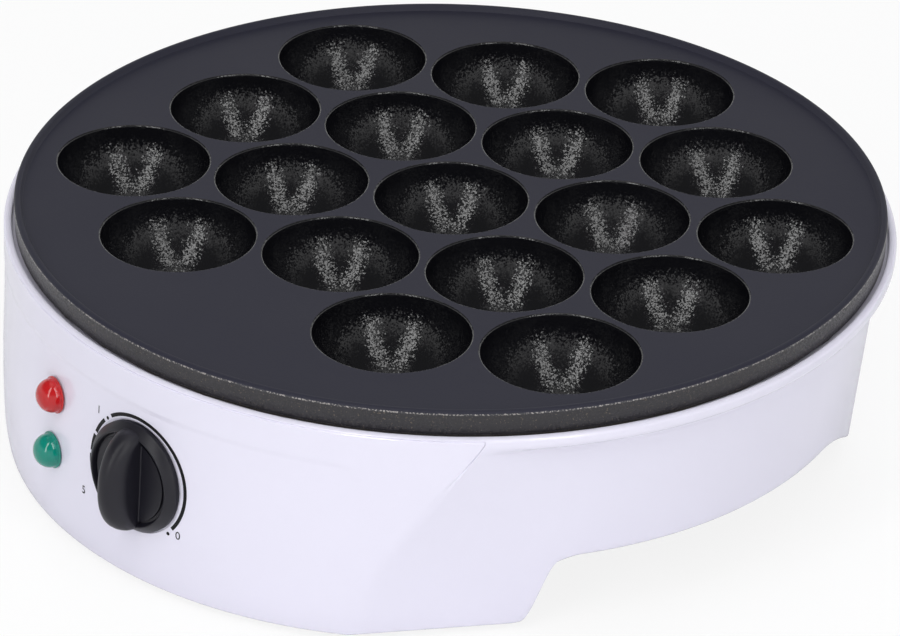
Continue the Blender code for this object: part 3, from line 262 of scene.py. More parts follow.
def bottom_edge(off_middle):
    """The height of the bottom edge: low at the panel and the rear, high under each side."""
    flank = between(*front_flank, off_middle)
    toe = between(*front_toe, off_middle)
    fall = between(*rear_flank, off_middle)
    return foot_lift + arch_height * (flank + (toe - flank) * toe_share - fall)


print("panel radius at the dial:", panel_radius(dial_azimuth, dial_height))

# %% [markdown]
# ## The pressed field on the panel
# A faint step runs below the lip and turns down near both creases: the middle of the panel is
# pressed in by a few tenths of a millimetre. A signed distance to a rounded rectangle gives the
# step an even width, and the field fades out lower down, as it does on the real casing.

# %% Pressed field
field_half_width = 86.0 * MM
field_top = casing_top - 7.6 * MM
field_corner = 9.0 * MM
field_step = 1.0 * MM
field_depth = 0.22 * MM
field_fade = (8.0 * MM, 26.0 * MM)


def field(off_middle, height):
    """How far the field moves the panel out, so always zero or less."""
    across = math.radians(off_middle) * lip_radius
    dx = across - (field_half_width - field_corner)
    dy = height - (field_top - field_corner)
    outside = math.hypot(max(dx, 0.0), max(dy, 0.0))
    distance = outside + min(max(dx, dy), 0.0) - field_corner
    fade = 1 - between(*field_fade, field_top - height)
    return -field_depth * (1 - between(-field_step, 0.0, distance)) * fade


print("field at its corner's height:", field(0, field_top - field_corner))

# %% [markdown]
# ## Where the casing's columns stand
# The casing is made of columns of points. They lean with the crease, and two of them stay close
# to it at the top and move away lower down. So smooth shading gives a crease that softens
# downwards. At its top end the crease is drawn as a fine line, by a column sunk a little.

# %% Columns
crease_top_width, crease_low_width = 0.10, 5.0
crease_depth_top, crease_fade_share = 0.32 * MM, 0.60
column_runs = [(("middle", 0.0), ("edge", -1), 40), (("edge", -1), ("edge", 0), 2),
               (("edge", 0), ("edge", 1), 2), (("edge", 1), ("at", front_toe[0]), 5),
               (("at", front_toe[0]), ("at", front_toe[1]), 22),
               (("at", front_toe[1]), ("at", rear_flank[0]), 28),
               (("at", rear_flank[0]), ("at", rear_flank[1]), 22),
               (("at", rear_flank[1]), ("at", 180.0), 22)]


def column_places():
    places = []
    for start, end, count in column_runs:
        places += [(start, end, step / count) for step in range(count)]
    return places + [(("at", 180.0), ("at", 180.0), 0.0)]


def stop_angle(stop, height):
    kind, value = stop
    if kind != "edge":
        return value
    share = max((casing_top - height) / casing_height, 0.0)
    width = crease_top_width + (crease_low_width - crease_top_width) * share ** 1.5
    return panel_half_angle(height) + value * width


def column_angle(column, height):
    start, end, share = column
    low, high = stop_angle(start, height), stop_angle(end, height)
    return low + (high - low) * share


def crease_depth(column, height):
    if column[0] != ("edge", 0) or column[2] != 0:
        return 0.0
    share = (rim_top - groove_drop - height) / casing_height
    return crease_depth_top * (1 - between(0.0, crease_fade_share, share))


columns = column_places()
print("columns in one half:", len(columns))

# %% [markdown]
# ## The rows over the rim, the lip and the wall
# On the real casing the plate sits inside a low rim, whose outside rolls over into a lip with a
# groove under it. The rows are listed as radius and drop below the rim's top. Down the wall they
# start close together, so that the groove and the pressed field come out smooth.

# %% Rows
ledge_inner, rim_inner = 109.5 * MM, 115.68 * MM
lip_round = 0.85 * MM
rim_edge = ((0.0, 0.3), (0.1, 0.1), (0.3, 0.0))
lip_edge = ((116.7, 0.0), (116.8, 0.04), (117.0, 0.09))
groove_outline = ((117.8, 1.6), (117.8, 2.2), (117.72, 2.7), (117.45, 3.2), (116.9, 3.65),
                  (116.1, 4.05), (115.2, 4.5), (114.75, 4.75), (114.45, 4.96))
fine_step, fine_rows, coarse_rows = 0.7 * MM, 15, 22


def lip_profile():
    """From the ledge over the rim and the lip to the groove's lower end."""
    rows = [(ledge_inner, casing_top), (rim_inner, casing_top)]
    rows += [(rim_inner + step * MM, rim_top - drop * MM) for step, drop in rim_edge]
    rows += [(radius * MM, rim_top - drop * MM) for radius, drop in lip_edge]
    rows += quarter((lip_radius - lip_round, rim_top - lip_round - 0.1 * MM), lip_round, 72, 0, 4)
    return rows + [(radius * MM, rim_top - drop * MM) for radius, drop in groove_outline]


def wall_shares():
    fine = [step * fine_step / (casing_height - groove_drop) for step in range(fine_rows)]
    rest = [fine[-1] + (1 - fine[-1]) * step / coarse_rows for step in range(1, coarse_rows + 1)]
    return fine + rest


print("rows over the lip:", len(lip_profile()), "rows down the wall:", len(wall_shares()))

# %% [markdown]
# ## One column of the casing
# Each column starts at the ledge under the plate, goes over the rim and lip, down the outside,
# round the bottom edge and up the inside. One row on the lip is sunk a little between the
# creases, and draws the fine line along the panel's top.

# %% A column
edge_round, edge_turns = 0.9 * MM, (30, 60, 90)
ledge_thickness = 2.4 * MM
line_row, panel_line_depth, crease_slack = 11, 0.30 * MM, 0.01
inner_row_step = 3


def casing_column(column, side):
    places = []
    for row, (radius, height) in enumerate(lip_profile()):
        off = column_angle(column, height)
        reach = skin_radius(off, height, radius) if height < casing_top else radius
        if row == line_row and off <= panel_half_angle(height) + crease_slack:
            reach -= panel_line_depth
        elif row > line_row:
            reach -= crease_depth(column, height)
        places.append((reach, off, height))
    wall_top = rim_top - groove_drop
    inside = []
    for share in wall_shares():
        nominal = wall_top + (foot_lift - wall_top) * share
        off = column_angle(column, nominal)
        low = bottom_edge(off) + edge_round
        height = wall_top + (low - wall_top) * share
        skin = skin_radius(off, height, wall_radius(height))
        reach = skin + field(off, height) - crease_depth(column, height)
        places.append((reach, off, height))
        inside.append((skin - wall_thickness, off, height))
    for turn in edge_turns:
        angle = math.radians(turn)
        draw_in = edge_round * (1 - math.cos(angle))
        places.append((reach - draw_in, off, height - edge_round * math.sin(angle)))
    places.append((inside[-1][0], off, height - edge_round))
    places += reversed(inside[::inner_row_step])
    shoulder, off = inside[0][:2]
    ledge = casing_top - ledge_thickness
    places += [(shoulder, off, ledge), (ledge_inner, off, ledge)]
    return [polar(radius, side * off, height) for radius, off, height in places]


print("points in a column:", len(casing_column(columns[0], 1)))

# %% [markdown]
# ## Joining the columns
# A loft closed both ways makes the casing one watertight skin. The four posts that carry the
# rubber pads are turned pieces that stand inside the front skirt and the rear foot.

# %% Casing skin and posts
casing_sharp = 38.0
post_radius, pad_radius = 7.0 * MM, 5.6 * MM
post_round = 0.6 * MM
post_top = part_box("bottom_cover")[1][2] - 1.9 * MM
post_low = foot_lift + 0.3 * MM
pad_recess = post_low + 1.2 * MM
post = [(0, post_top), (post_radius, post_top)]
post += quarter((post_radius - post_round, post_low + post_round), post_round, 0, -90, 3)
post += [(pad_radius, post_low), (pad_radius, pad_recess), (0, pad_recess)]
work = bmesh.new()
rings = [casing_column(column, 1) for column in columns]
rings += [casing_column(column, -1) for column in reversed(columns[1:-1])]
loft(work, rings, close_rows=True)
for number in range(1, 5):
    turn_profile(work, post, 40, Matrix.Translation(node_middle(f"rubber_foot_{number}")))
casing = new_piece("casing_skin", work, casing_sharp)
print("casing faces before the seat:", len(casing.data.polygons))

# %% [markdown]
# ## The dial's seat
# The dial turns close over a flat round seat that is sunk a millimetre into the curved panel. A
# Boolean cuts it with a turned piece. The seat's frame is kept for the dial.

# %% Cut the seat
seat_depth, seat_radius, cutter_height = 1.0 * MM, 15.4 * MM, 4 * MM
skirt_radius = 14.9 * MM
face_radius = panel_radius(dial_azimuth, dial_height)
dial_lean = panel_lean(dial_azimuth, dial_height, skirt_radius)
face_frame = facing(face_radius, dial_azimuth, dial_height, dial_lean)
dial_frame = face_frame @ Matrix.Translation((0, 0, -seat_depth))
cutter = [(0, cutter_height), (seat_radius, cutter_height), (seat_radius, 0), (0, 0)]
work = bmesh.new()
turn_profile(work, cutter, 96, dial_frame)
seat_cutter = new_piece("seat_cutter", work)
cut = casing.modifiers.new("dial_seat", "BOOLEAN")
cut.operation = "DIFFERENCE"
cut.solver = "EXACT"
cut.object = seat_cutter
seated = shown_mesh(casing)
casing.modifiers.clear()
casing.data = seated
seated.set_sharp_from_angle(angle=math.radians(casing_sharp))
bpy.data.objects.remove(seat_cutter)
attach(casing, "appliance")
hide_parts("body_casing")
print("casing faces:", len(casing.data.polygons))

# %% [markdown]
# ## The plate's flat
# The plate is cast and then coated. Its flat is one face with round holes, which a filled 2D
# curve gives directly.

# %% Cup places and the flat
cup_radius = 20.19 * MM
cup_edge = 0.45 * MM
cup_pitch = 43.2 * MM
plate_radius = 115.08 * MM
flat_radius = 112.7 * MM
cup_steps, plate_steps = 96, 256


def cup_places():
    """A six-sided lattice turned with the dial; the corner behind the dial stays plain."""
    turn = Matrix.Rotation(math.radians(dial_azimuth), 3, "Z")
    places = []
    for row in range(-2, 3):
        for column in range(-2, 3):
            if abs(row + column) > 2 or (row == 0 and column == -2):
                continue
            flat = Vector((cup_pitch * math.sqrt(3) / 2 * row, cup_pitch * (column + row / 2), 0))
            places.append(turn @ flat + axis)
    return places


def flat_with_holes(outer, hole, hole_steps):
    """A round flat with a hole at each cup, as a mesh at height zero."""
    curve = bpy.data.curves.new("plate_flat", "CURVE")
    curve.dimensions = "2D"
    curve.fill_mode = "BOTH"
    outlines = [(axis, outer, plate_steps)]
    outlines += [(place, hole, hole_steps) for place in cup_places()]
    for centre, radius, steps in outlines:
        spline = curve.splines.new("POLY")
        spline.points.add(steps - 1)
        for point, offset in zip(spline.points, circle(radius, 0, steps)):
            point.co = (centre.x + offset.x, centre.y + offset.y, 0, 1)
        spline.use_cyclic_u = True
    outline = add_object("plate_flat", curve)
    mesh = shown_mesh(outline)
    bpy.data.objects.remove(outline)
    return mesh


print("cups:", len(cup_places()))

# %% [markdown]
# ## Top and underside
# Both faces of the casting are such flats. The holes in the underside are wider, because each
# cup is a bowl with a wall of its own below the flat.

# %% Top and underside
plate_wall, underside_radius = 3.2 * MM, 110.5 * MM
shell_radius, shell_drop, shell_steps = 21.4 * MM, 1.2 * MM, 32
shell_start = math.asin((plate_wall - shell_drop) / shell_radius)
shell_mouth = shell_radius * math.cos(shell_start)
fill_weld, seam_weld = 1e-7, 2e-6
flats = ((underside_radius, shell_mouth, shell_steps, plate_top - plate_wall),
         (flat_radius, cup_radius + cup_edge, cup_steps, plate_top))
work = bmesh.new()
for outer, hole, steps, height in flats:
    start = len(work.verts)
    work.from_mesh(flat_with_holes(outer, hole, steps))
    for corner in list(work.verts)[start:]:
        corner.co.z = height
bmesh.ops.remove_doubles(work, verts=work.verts, dist=fill_weld)
print("faces of the two flats:", len(work.faces))

# %% [markdown]
# ## The cups
# Each cup is turned from a profile that rolls over a small edge and follows a half circle down to
# the middle. Equal counts of points let its edge weld to the flat. The cups get a material slot
# of their own: a darker copy of the coating, which is painted shade in their hollows, with coarser
# glitter.

# %% Cups
edge_rows, edge_turn = 4, 26
bowl_rows, bowl_start = 28, math.asin(cup_edge * 0.9 / cup_radius)
cup_slot, side_slot, worn_and_highlight_slot = 1, 2, 3


def at_every_cup(work, profile, steps):
    """Turns a profile, whose heights are from the flat, at each cup."""
    for place in cup_places():
        turn_profile(work, profile, steps, Matrix.Translation(place + Vector((0, 0, plate_top))))


def bowl(radius, drop, start, rows):
    """A half circle below the flat, from a starting angle to its middle."""
    points = []
    for step in range(rows):
        angle = start + (math.pi / 2 - start) * step / rows
        points.append((radius * math.cos(angle), -drop - radius * math.sin(angle)))
    return points + [(0, -drop - radius)]


cup_profile = []
for step in range(edge_rows):
    angle = math.radians(90 - edge_turn * step)
    cup_profile.append((cup_radius + cup_edge * (1 - math.cos(angle)),
                        -cup_edge * (1 - math.sin(angle))))
cup_profile += bowl(cup_radius, 0, bowl_start, bowl_rows)
before_cups = len(work.faces)
at_every_cup(work, cup_profile, cup_steps)
# The cup faces take the darker coating, which is painted shade for their hollows.
for face in list(work.faces)[before_cups:]:
    face.material_index = cup_slot
print("faces in the cups:", len(work.faces) - before_cups)

# %% [markdown]
# ## The plate's rim and side
# The rim stands a little above the flat, with a steep inner face and a rounded top, and the side
# falls to a low skirt. The coating is browner on the side, and paler along the rim's outer edge,
# which is partly wear and partly a painted highlight, so these two bands get slots of their own.

# %% Rim and side
skirt_low = plate_top - 5.15 * MM
plate_rim = plate_top + rim_height
crown_radius, skirt_inner = flat_radius + 1.0 * MM, 112.0 * MM
inner_round, outer_round, skirt_round = 0.4 * MM, 0.95 * MM, 0.5 * MM
side_start, worn_and_highlight_end = 0.6 * MM, 1.1 * MM
rim = [(flat_radius, plate_top), (flat_radius + 0.12 * MM, plate_top + 0.1 * MM),
       (flat_radius + 0.55 * MM, plate_rim - 0.35 * MM)]
rim += quarter((crown_radius, plate_rim - inner_round), inner_round, 150, 90, 3)
rim += quarter((plate_radius - outer_round, plate_rim - outer_round), outer_round, 90, 0, 7)
rim += [(plate_radius, plate_rim - 1.25 * MM)]
rim += quarter((plate_radius - 0.6 * MM, skirt_low + skirt_round), skirt_round, 0, -90, 4)
rim += [(skirt_inner, skirt_low), (underside_radius, plate_top - plate_wall)]
before_rim = len(work.faces)
turn_profile(work, rim, plate_steps, Matrix.Translation(axis))
for face in list(work.faces)[before_rim:]:
    centre = face.calc_center_median()
    below_rim = plate_rim - centre.z
    out = math.hypot(centre.x - axis_x, centre.y - axis_y)
    # The band just under the rim's top is paler: partly wear, partly a painted highlight.
    if below_rim > side_start and out > crown_radius:
        face.material_index = worn_and_highlight_slot if below_rim < worn_and_highlight_end else side_slot
print("faces in the rim and side:", len(work.faces) - before_rim)

# %% [markdown]
# ## Under the plate
# From below each cup is a bowl, and bosses carry the studs, the clamps and the thermostat's
# strip. All are turned, and the bosses stand where the screws are.

# %% Shells and bosses
shell_rows = 8
boss_root, boss_bevel, clamp_gap = 0.2 * MM, 0.4 * MM, 0.4 * MM
clamp_depth = plate_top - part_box("element_clamp_1")[1][2] - clamp_gap
before_shells = len(work.faces)
at_every_cup(work, bowl(shell_radius, shell_drop, shell_start, shell_rows), shell_steps)
bosses = [("strip_screw", 9.0 * MM, 9.0 * MM)]
bosses += [(f"plate_stud_{number}", 4.3 * MM, 14.0 * MM) for number in (1, 2, 3)]
bosses += [(f"clamp_screw_{number}", 3.0 * MM, clamp_depth) for number in (1, 2, 3)]
for name, radius, depth in bosses:
    profile = [(radius, boss_root - plate_wall), (radius, boss_bevel - depth),
               (radius - boss_bevel, -depth), (0, -depth)]
    turn_profile(work, profile, 28, Matrix.Translation(node_middle(name, plate_top)))
print("faces below:", len(work.faces) - before_shells, "bosses:", len(bosses))

# %% [markdown]
# ## The plate as one piece
# The real plate is one casting, so points that fall together are welded. The flat is shaded flat,
# because smooth shading would carry the roundness of the cups' edges into it.

# %% Finished plate
plate_sharp, level_normal, level_reach = 50.0, 0.9999, 1e-6
bmesh.ops.remove_doubles(work, verts=work.verts, dist=seam_weld)
mesh = bpy.data.meshes.new("plate_skin")
work.to_mesh(mesh)
work.free()
mesh.shade_smooth()
mesh.set_sharp_from_angle(angle=math.radians(plate_sharp))
for face in mesh.polygons:
    if abs(face.normal.z) > level_normal and abs(face.center.z - plate_top) < level_reach:
        face.use_smooth = False
plate = add_object("plate_skin", mesh)
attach(plate, "appliance")
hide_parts("cooking_plate")
print("plate faces:", len(mesh.polygons))

# %% [markdown]
# ## The dial
# The knob is a low turned skirt with a bar across it. The skirt is hollow on both sides of the
# bar, so fingers can hold it, and a fine groove runs round its floor.

# %% Knob skirt
floor_high, crest_high = 3.0 * MM, 3.75 * MM
floor_groove = floor_high - 0.6 * MM
edge_bend = 0.35 * MM
skirt_gap, hollow_radius, hollow_top = 0.4 * MM, 12.6 * MM, 2.0 * MM
skirt = [(0, floor_high), (11.35 * MM, floor_high), (11.45 * MM, floor_groove),
         (12.1 * MM, floor_groove), (12.25 * MM, floor_high),
         (12.5 * MM, crest_high - 0.3 * MM)]
skirt += quarter((12.85 * MM, crest_high - edge_bend), edge_bend, 160, 40, 5)[1:]
skirt += [(13.9 * MM, 2.95 * MM), (14.5 * MM, 2.15 * MM)]
skirt += quarter((skirt_radius - edge_bend, 1.5 * MM), edge_bend, 40, 0, 3)
skirt += [(skirt_radius, skirt_gap), (hollow_radius, skirt_gap),
          (hollow_radius, hollow_top), (0, hollow_top)]
work = bmesh.new()
turn_profile(work, skirt, 96, dial_frame)
knob_skirt = new_piece("knob_skirt", work, sharp=40.0)
print("knob skirt corners:", len(knob_skirt.data.vertices))

# %% [markdown]
# ## The bar of the dial
# Fingers hold a bar that stands across the dial. Seen from its side it is a rounded hump, and its
# front is rounded over too. Sections across its width are all of one family of curves, which lie
# between an ellipse and a rectangle, and each outer one stays further behind the front.

# %% Knob bar
bar_half, bar_reach, bar_low = 14.0 * MM, 13.26 * MM, 2.3 * MM
bar_fullness, bar_end_share, bar_steps = 2.2, 0.35, 40
bar_places = ((3.60, 5.8), (3.58, 5.2), (3.50, 4.5), (3.30, 3.6), (3.00, 2.6), (2.60, 1.7),
              (2.00, 0.85), (1.30, 0.35), (0.60, 0.08))


def bar_section(across, drop):
    """One section of the bar, whose top is a given drop behind the front."""
    half, rise = bar_half - drop * bar_end_share, bar_reach - drop - bar_low
    power = 2 / bar_fullness
    points = []
    for step in range(bar_steps + 1):
        turn = math.pi * step / bar_steps
        along = math.copysign(abs(math.cos(turn)) ** power, math.cos(turn))
        out = bar_low + rise * math.sin(turn) ** power
        points.append(dial_frame @ Vector((across, half * along, out)))
    return points


work = bmesh.new()
sides = [(-across, drop) for across, drop in bar_places] + list(reversed(bar_places))
sections = [bar_section(across * MM, drop * MM) for across, drop in sides]
loft(work, sections)
work.verts.ensure_lookup_table()
for end in (work.verts[:len(sections[0])], work.verts[-len(sections[0]):]):
    work.faces.new(end)
print("corners of the bar:", len(work.verts))

# %% [markdown]
# ## The beads at the bar's foot
# On the real dial a fine rounded edge runs along each side of the bar, where it meets the skirt's
# floor, and catches the light. A thin half-round bead on each side does the same.

# %% Beads and the finished dial
bead_half, bead_radius, bead_off, bead_sink = 10.8 * MM, 0.28 * MM, 3.62 * MM, 0.05 * MM
bead_turns = [math.pi * step / 6 for step in range(7)]
for side in (-1, 1):
    bead = []
    for along in (-bead_half, bead_half):
        bead.append([dial_frame @ Vector((side * (bead_off + bead_radius * math.cos(turn)), along,
                                          floor_high - bead_sink + bead_radius * math.sin(turn)))
                     for turn in bead_turns])
    loft(work, bead)
knob_bar = new_piece("knob_bar", work, sharp=60.0)
for piece in (knob_skirt, knob_bar):
    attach(piece, "dial")
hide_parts("control_knob")
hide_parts("control_knob")
print("knob bar corners:", len(knob_bar.data.vertices))

# %% [markdown]
# ## Pilot lamps
# Each lamp is a moulded lens that snaps into the panel: a round dome on a thin flange, over a
# short stem. Turning it from a profile keeps the stem inside the wall, and the dome is fuller
# than a half ball.

# %% Lamp lenses
lens_reach, lens_flange, lens_foot = 5.15 * MM, 0.65 * MM, 0.3 * MM
dome_radius, flange_radius = 4.55 * MM, 4.9 * MM
side_power, top_power, dome_rows = 0.94, 0.92, 14
stem_radius, stem_depth = 3.6 * MM, 5.2 * MM
lamp_azimuth, red_height, green_height = -6.5, foot_lift + 38.3 * MM, foot_lift + 22.3 * MM


def lamp_lens(colour, height):
    dome = [(0, lens_reach)]
    for step in range(1, dome_rows):
        angle = math.radians(90 * step / dome_rows)
        rise = (lens_reach - lens_flange) * math.cos(angle) ** top_power
        dome.append((dome_radius * math.sin(angle) ** side_power, lens_flange + rise))
    profile = dome + [(dome_radius, lens_flange),
                      (flange_radius - 0.15 * MM, lens_flange - 0.05 * MM),
                      (flange_radius, lens_flange - 0.2 * MM), (flange_radius, lens_foot),
                      (stem_radius, lens_foot), (stem_radius, -stem_depth), (0, -stem_depth)]
    work = bmesh.new()
    radius = panel_radius(-lamp_azimuth, height)
    lean = panel_lean(-lamp_azimuth, height, flange_radius)
    turn_profile(work, profile, 48, facing(radius, lamp_azimuth, height, lean))
    lens = new_piece(f"{colour}_lens", work, sharp=40.0)
    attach(lens, "appliance")
    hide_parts(f"{colour}_lamp_lens")
    return lens


red_lens = lamp_lens("red", red_height)
green_lens = lamp_lens("green", green_height)
print("lens corners:", len(red_lens.data.vertices))

# %% [markdown]
# ## Printed scale
# The scale is ink on the panel, so it is made as thin strips that follow the panel's curve a few
# hundredths of a millimetre above it. Angles run clockwise from the top, as a dial is read.

# %% Arcs, dashes and dots
ink_lift = 0.06 * MM
arc_step = 2.5
dot_size, dot_steps = 0.50 * MM, 20
dash_width = 1.05
scale_arc = (-36.5, 129.5, 15.85 * MM, 16.85 * MM)
scale_dots = ((-42.5, 16.3 * MM), (136.5, 16.7 * MM))
scale_dashes = ((-48, -67.5, 16.9), (-71, -88.5, 17.0), (-92, -108.5, 17.2), (-112, -128, 17.2))


def on_panel(across, up):
    """A place in the ink, by its distances across and up from the dial."""
    height = dial_height + up * math.cos(dial_lean)
    azimuth = dial_azimuth + math.degrees(across / face_radius)
    reach = panel_radius(abs(azimuth), height) + field(abs(azimuth), height) + ink_lift
    return polar(reach, azimuth, height)


def ink_arc(work, start, end, inner, outer):
    steps = max(2, round(abs(end - start) / arc_step))
    rows = []
    for step in range(steps + 1):
        angle = math.radians(start + (end - start) * step / steps)
        rows.append([work.verts.new(on_panel(radius * math.sin(angle), radius * math.cos(angle)))
                     for radius in (inner, outer)])
    for here, there in zip(rows, rows[1:]):
        work.faces.new((here[0], here[1], there[1], there[0]))


def ink_dot(work, angle, radius):
    turn = math.radians(angle)
    across, up = radius * math.sin(turn), radius * math.cos(turn)
    ring = [work.verts.new(on_panel(across + point.x, up + point.y))
            for point in circle(dot_size, 0, dot_steps)]
    work.faces.new(ring)


work = bmesh.new()
ink_arc(work, *scale_arc)
for start, end, outer in scale_dashes:
    ink_arc(work, start, end, (outer - dash_width) * MM, outer * MM)
for angle, radius in scale_dots:
    ink_dot(work, angle, radius)
scale_marks = new_piece("scale_marks", work)
print("scale faces:", len(scale_marks.data.polygons))

# %% [markdown]
# ## Plain numbers
# Text in Blender is a filled curve. Turned into a mesh, its points can be sent through the same
# rule that lays the scale on the panel, so the numbers bend with it.

# %% Numbers beside the scale
number_size = 3.2 * MM
scale_words = (("0", 129, 18.7 * MM), ("1", -49, 19.4 * MM), ("5", -123, 22.8 * MM))


def ink_number(word, angle, radius):
    text = bpy.data.curves.new("number", "FONT")
    text.body = word
    text.size = number_size
    text.align_x = "CENTER"
    text.align_y = "CENTER"
    text.resolution_u = 6
    sign = add_object("number", text)
    mesh = shown_mesh(sign)
    bpy.data.objects.remove(sign)
    turn = math.radians(angle)
    for corner in mesh.vertices:
        across = radius * math.sin(turn) + corner.co.x
        up = radius * math.cos(turn) + corner.co.y
        corner.co = on_panel(across, up)
    return mesh


work = bmesh.new()
for word, angle, radius in scale_words:
    work.from_mesh(ink_number(word, angle, radius))
numbers = new_piece("scale_numbers", work)
for piece in (scale_marks, numbers):
    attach(piece, "appliance")
print("number faces:", len(numbers.data.polygons))

# %% [markdown]
# ## Shared surface effects
# Several finishes need the same small irregularities. Each effect is one node group with named
# inputs, and the finishes only set their own values.

# %% Node helpers
def wire(tree, *links):
    """Joins sockets; a link is a node, its output, the next node and its input."""
    for source, output, target, entry in links:
        tree.links.new(source.outputs[output], target.inputs[entry])


def set_inputs(node, **values):
    """Sets constant inputs; an underscore stands for a space in an input's name."""
    for label, value in values.items():
        node.inputs[label.replace("_", " ")].default_value = value
    return node


def new_node(tree, kind, operation=None, **values):
    node = tree.nodes.new(kind)
    if operation:
        node.operation = operation
    return set_inputs(node, **values)


def new_group(name, inputs, outputs):
    group = bpy.data.node_groups.new(name, "ShaderNodeTree")
    for label, value in inputs:
        socket = group.interface.new_socket(label, in_out="INPUT", socket_type="NodeSocketFloat")
        socket.default_value = value
    for label, kind in outputs:
        group.interface.new_socket(label, in_out="OUTPUT", socket_type=f"NodeSocket{kind}")
    return group, group.nodes.new("NodeGroupInput"), group.nodes.new("NodeGroupOutput")


def object_noise(group, given, scale, detail):
    places = new_node(group, "ShaderNodeTexCoord")
    noise = new_node(group, "ShaderNodeTexNoise", Detail=detail)
    wire(group, (places, "Object", noise, "Vector"), (given, scale, noise, "Scale"))
    return noise


print("node helpers ready")

# %% [markdown]
# ## Mottling
# Moulded and coated surfaces change slowly in tone and gloss. A broad noise gives the gloss a
# value between a low and a high one, and gives the tone a mask.

# %% Mottle group
mottle, given, result = new_group("Mottle", (("Scale", 30.0), ("Low", 0.3), ("High", 0.4)),
                                  (("Value", "Float"), ("Mask", "Float")))
noise = object_noise(mottle, given, "Scale", 4.0)
spread = new_node(mottle, "ShaderNodeMapRange", From_Min=0.3, From_Max=0.7)
wire(mottle, (noise, "Fac", spread, "Value"), (given, "Low", spread, "To Min"),
     (given, "High", spread, "To Max"), (spread, "Result", result, "Value"),
     (noise, "Fac", result, "Mask"))
print("nodes in", mottle.name, len(mottle.nodes))

# %% [markdown]
# ## Grain
# No moulded or cast face is quite smooth. Two noises of different size, mixed, give a height for
# fine relief, which a bump turns into small tilts of the surface.

# %% Grain group
grain, given, result = new_group(
    "Grain", (("Scale", 900.0), ("Coarse Scale", 60.0), ("Coarse", 0.3)), (("Height", "Float"),))
fine = object_noise(grain, given, "Scale", 2.0)
coarse = object_noise(grain, given, "Coarse Scale", 2.0)
blend = new_node(grain, "ShaderNodeMix")
wire(grain, (given, "Coarse", blend, "Factor"), (fine, "Fac", blend, "A"),
     (coarse, "Fac", blend, "B"), (blend, "Result", result, "Height"))
print("nodes in", grain.name, len(grain.nodes))

# %% [markdown]
# ## Flecks
# A sprayed coating holds bright grains. Where a fine noise passes a threshold there is a fleck,
# and the softness decides how sharp its edge is.

# %% Fleck group
flecks, given, result = new_group(
    "Flecks", (("Scale", 1600.0), ("Threshold", 0.62), ("Softness", 0.06)), (("Mask", "Float"),))
noise = object_noise(flecks, given, "Scale", 1.0)
upper = new_node(flecks, "ShaderNodeMath", "ADD")
limit = new_node(flecks, "ShaderNodeMapRange")
wire(flecks, (given, "Threshold", upper, 0), (given, "Softness", upper, 1),
     (noise, "Fac", limit, "Value"), (given, "Threshold", limit, "From Min"),
     (upper, "Value", limit, "From Max"), (limit, "Result", result, "Mask"))
print("nodes in", flecks.name, len(flecks.nodes))

# %% [markdown]
# ## Glitter
# Metal flakes in a coating each face their own way, so a few of them catch a lamp. Every small
# cell gets a random direction, which tilts the surface's normal a little.

# %% Glitter group
glitter, given, result = new_group("Glitter", (("Scale", 2800.0), ("Tilt", 0.5)),
                                   (("Normal", "Vector"),))
places = new_node(glitter, "ShaderNodeTexCoord")
cells = new_node(glitter, "ShaderNodeTexVoronoi")
shape = new_node(glitter, "ShaderNodeNewGeometry")
centred = new_node(glitter, "ShaderNodeVectorMath", "SUBTRACT")
centred.inputs[1].default_value = (0.5, 0.5, 0.5)
tilted = new_node(glitter, "ShaderNodeVectorMath", "SCALE")
added = new_node(glitter, "ShaderNodeVectorMath", "ADD")
unit = new_node(glitter, "ShaderNodeVectorMath", "NORMALIZE")
wire(glitter, (places, "Object", cells, "Vector"), (given, "Scale", cells, "Scale"),
     (cells, "Color", centred, 0), (centred, "Vector", tilted, 0),
     (given, "Tilt", tilted, "Scale"), (tilted, "Vector", added, 0),
     (shape, "Normal", added, 1), (added, "Vector", unit, 0), (unit, "Vector", result, "Normal"))
print("nodes in", glitter.name, len(glitter.nodes))

# %% [markdown]
# ## One way to write a finish
# A finish is a Principled BSDF whose colour and roughness wander a little between two values and
# whose normal comes from grain. Constant values such as the coat are set on the shader itself.

# %% Finish helper
relief_depth = 0.1 * MM


def place_group(tree, group, **values):
    node = tree.nodes.new("ShaderNodeGroup")
    node.node_tree = group
    return set_inputs(node, **values)


def finish(name, colour, other, roughness, grain_scale, relief, metallic=0.0, mottle_scale=28.0,
           **sockets):
    made = bpy.data.materials.new(name)
    made.use_nodes = True
    tree = made.node_tree
    shader = set_inputs(tree.nodes["Principled BSDF"], Metallic=metallic, **sockets)
    wander = place_group(tree, mottle, Scale=mottle_scale, Low=roughness[0], High=roughness[1])
    tone = new_node(tree, "ShaderNodeMix")
    tone.data_type = "RGBA"
    tone.inputs["A"].default_value = (*colour, 1)
    tone.inputs["B"].default_value = (*other, 1)
    tooth = place_group(tree, grain, Scale=grain_scale, Coarse_Scale=grain_scale / 12)
    bump = new_node(tree, "ShaderNodeBump", Strength=relief, Distance=relief_depth)
    wire(tree, (wander, "Value", shader, "Roughness"), (wander, "Mask", tone, "Factor"),
         (tone, "Result", shader, "Base Color"), (tooth, "Height", bump, "Height"),
         (bump, "Normal", shader, "Normal"))
    return made


def add_flecks(made, scale, threshold, colour, glint):
    """Lays bright grains over a finish's colour, and makes them partly metallic."""
    tree = made.node_tree
    shader = tree.nodes["Principled BSDF"]
    under = shader.inputs["Base Color"].links[0].from_socket
    spots = place_group(tree, flecks, Scale=scale, Threshold=threshold)
    tone = new_node(tree, "ShaderNodeMix")
    tone.data_type = "RGBA"
    tone.inputs["B"].default_value = (*colour, 1)
    tree.links.new(under, tone.inputs["A"])
    level = new_node(tree, "ShaderNodeMapRange", To_Min=0.0, To_Max=glint)
    wire(tree, (spots, "Mask", tone, "Factor"), (tone, "Result", shader, "Base Color"),
         (spots, "Mask", level, "Value"), (level, "Result", shader, "Metallic"))
    return made


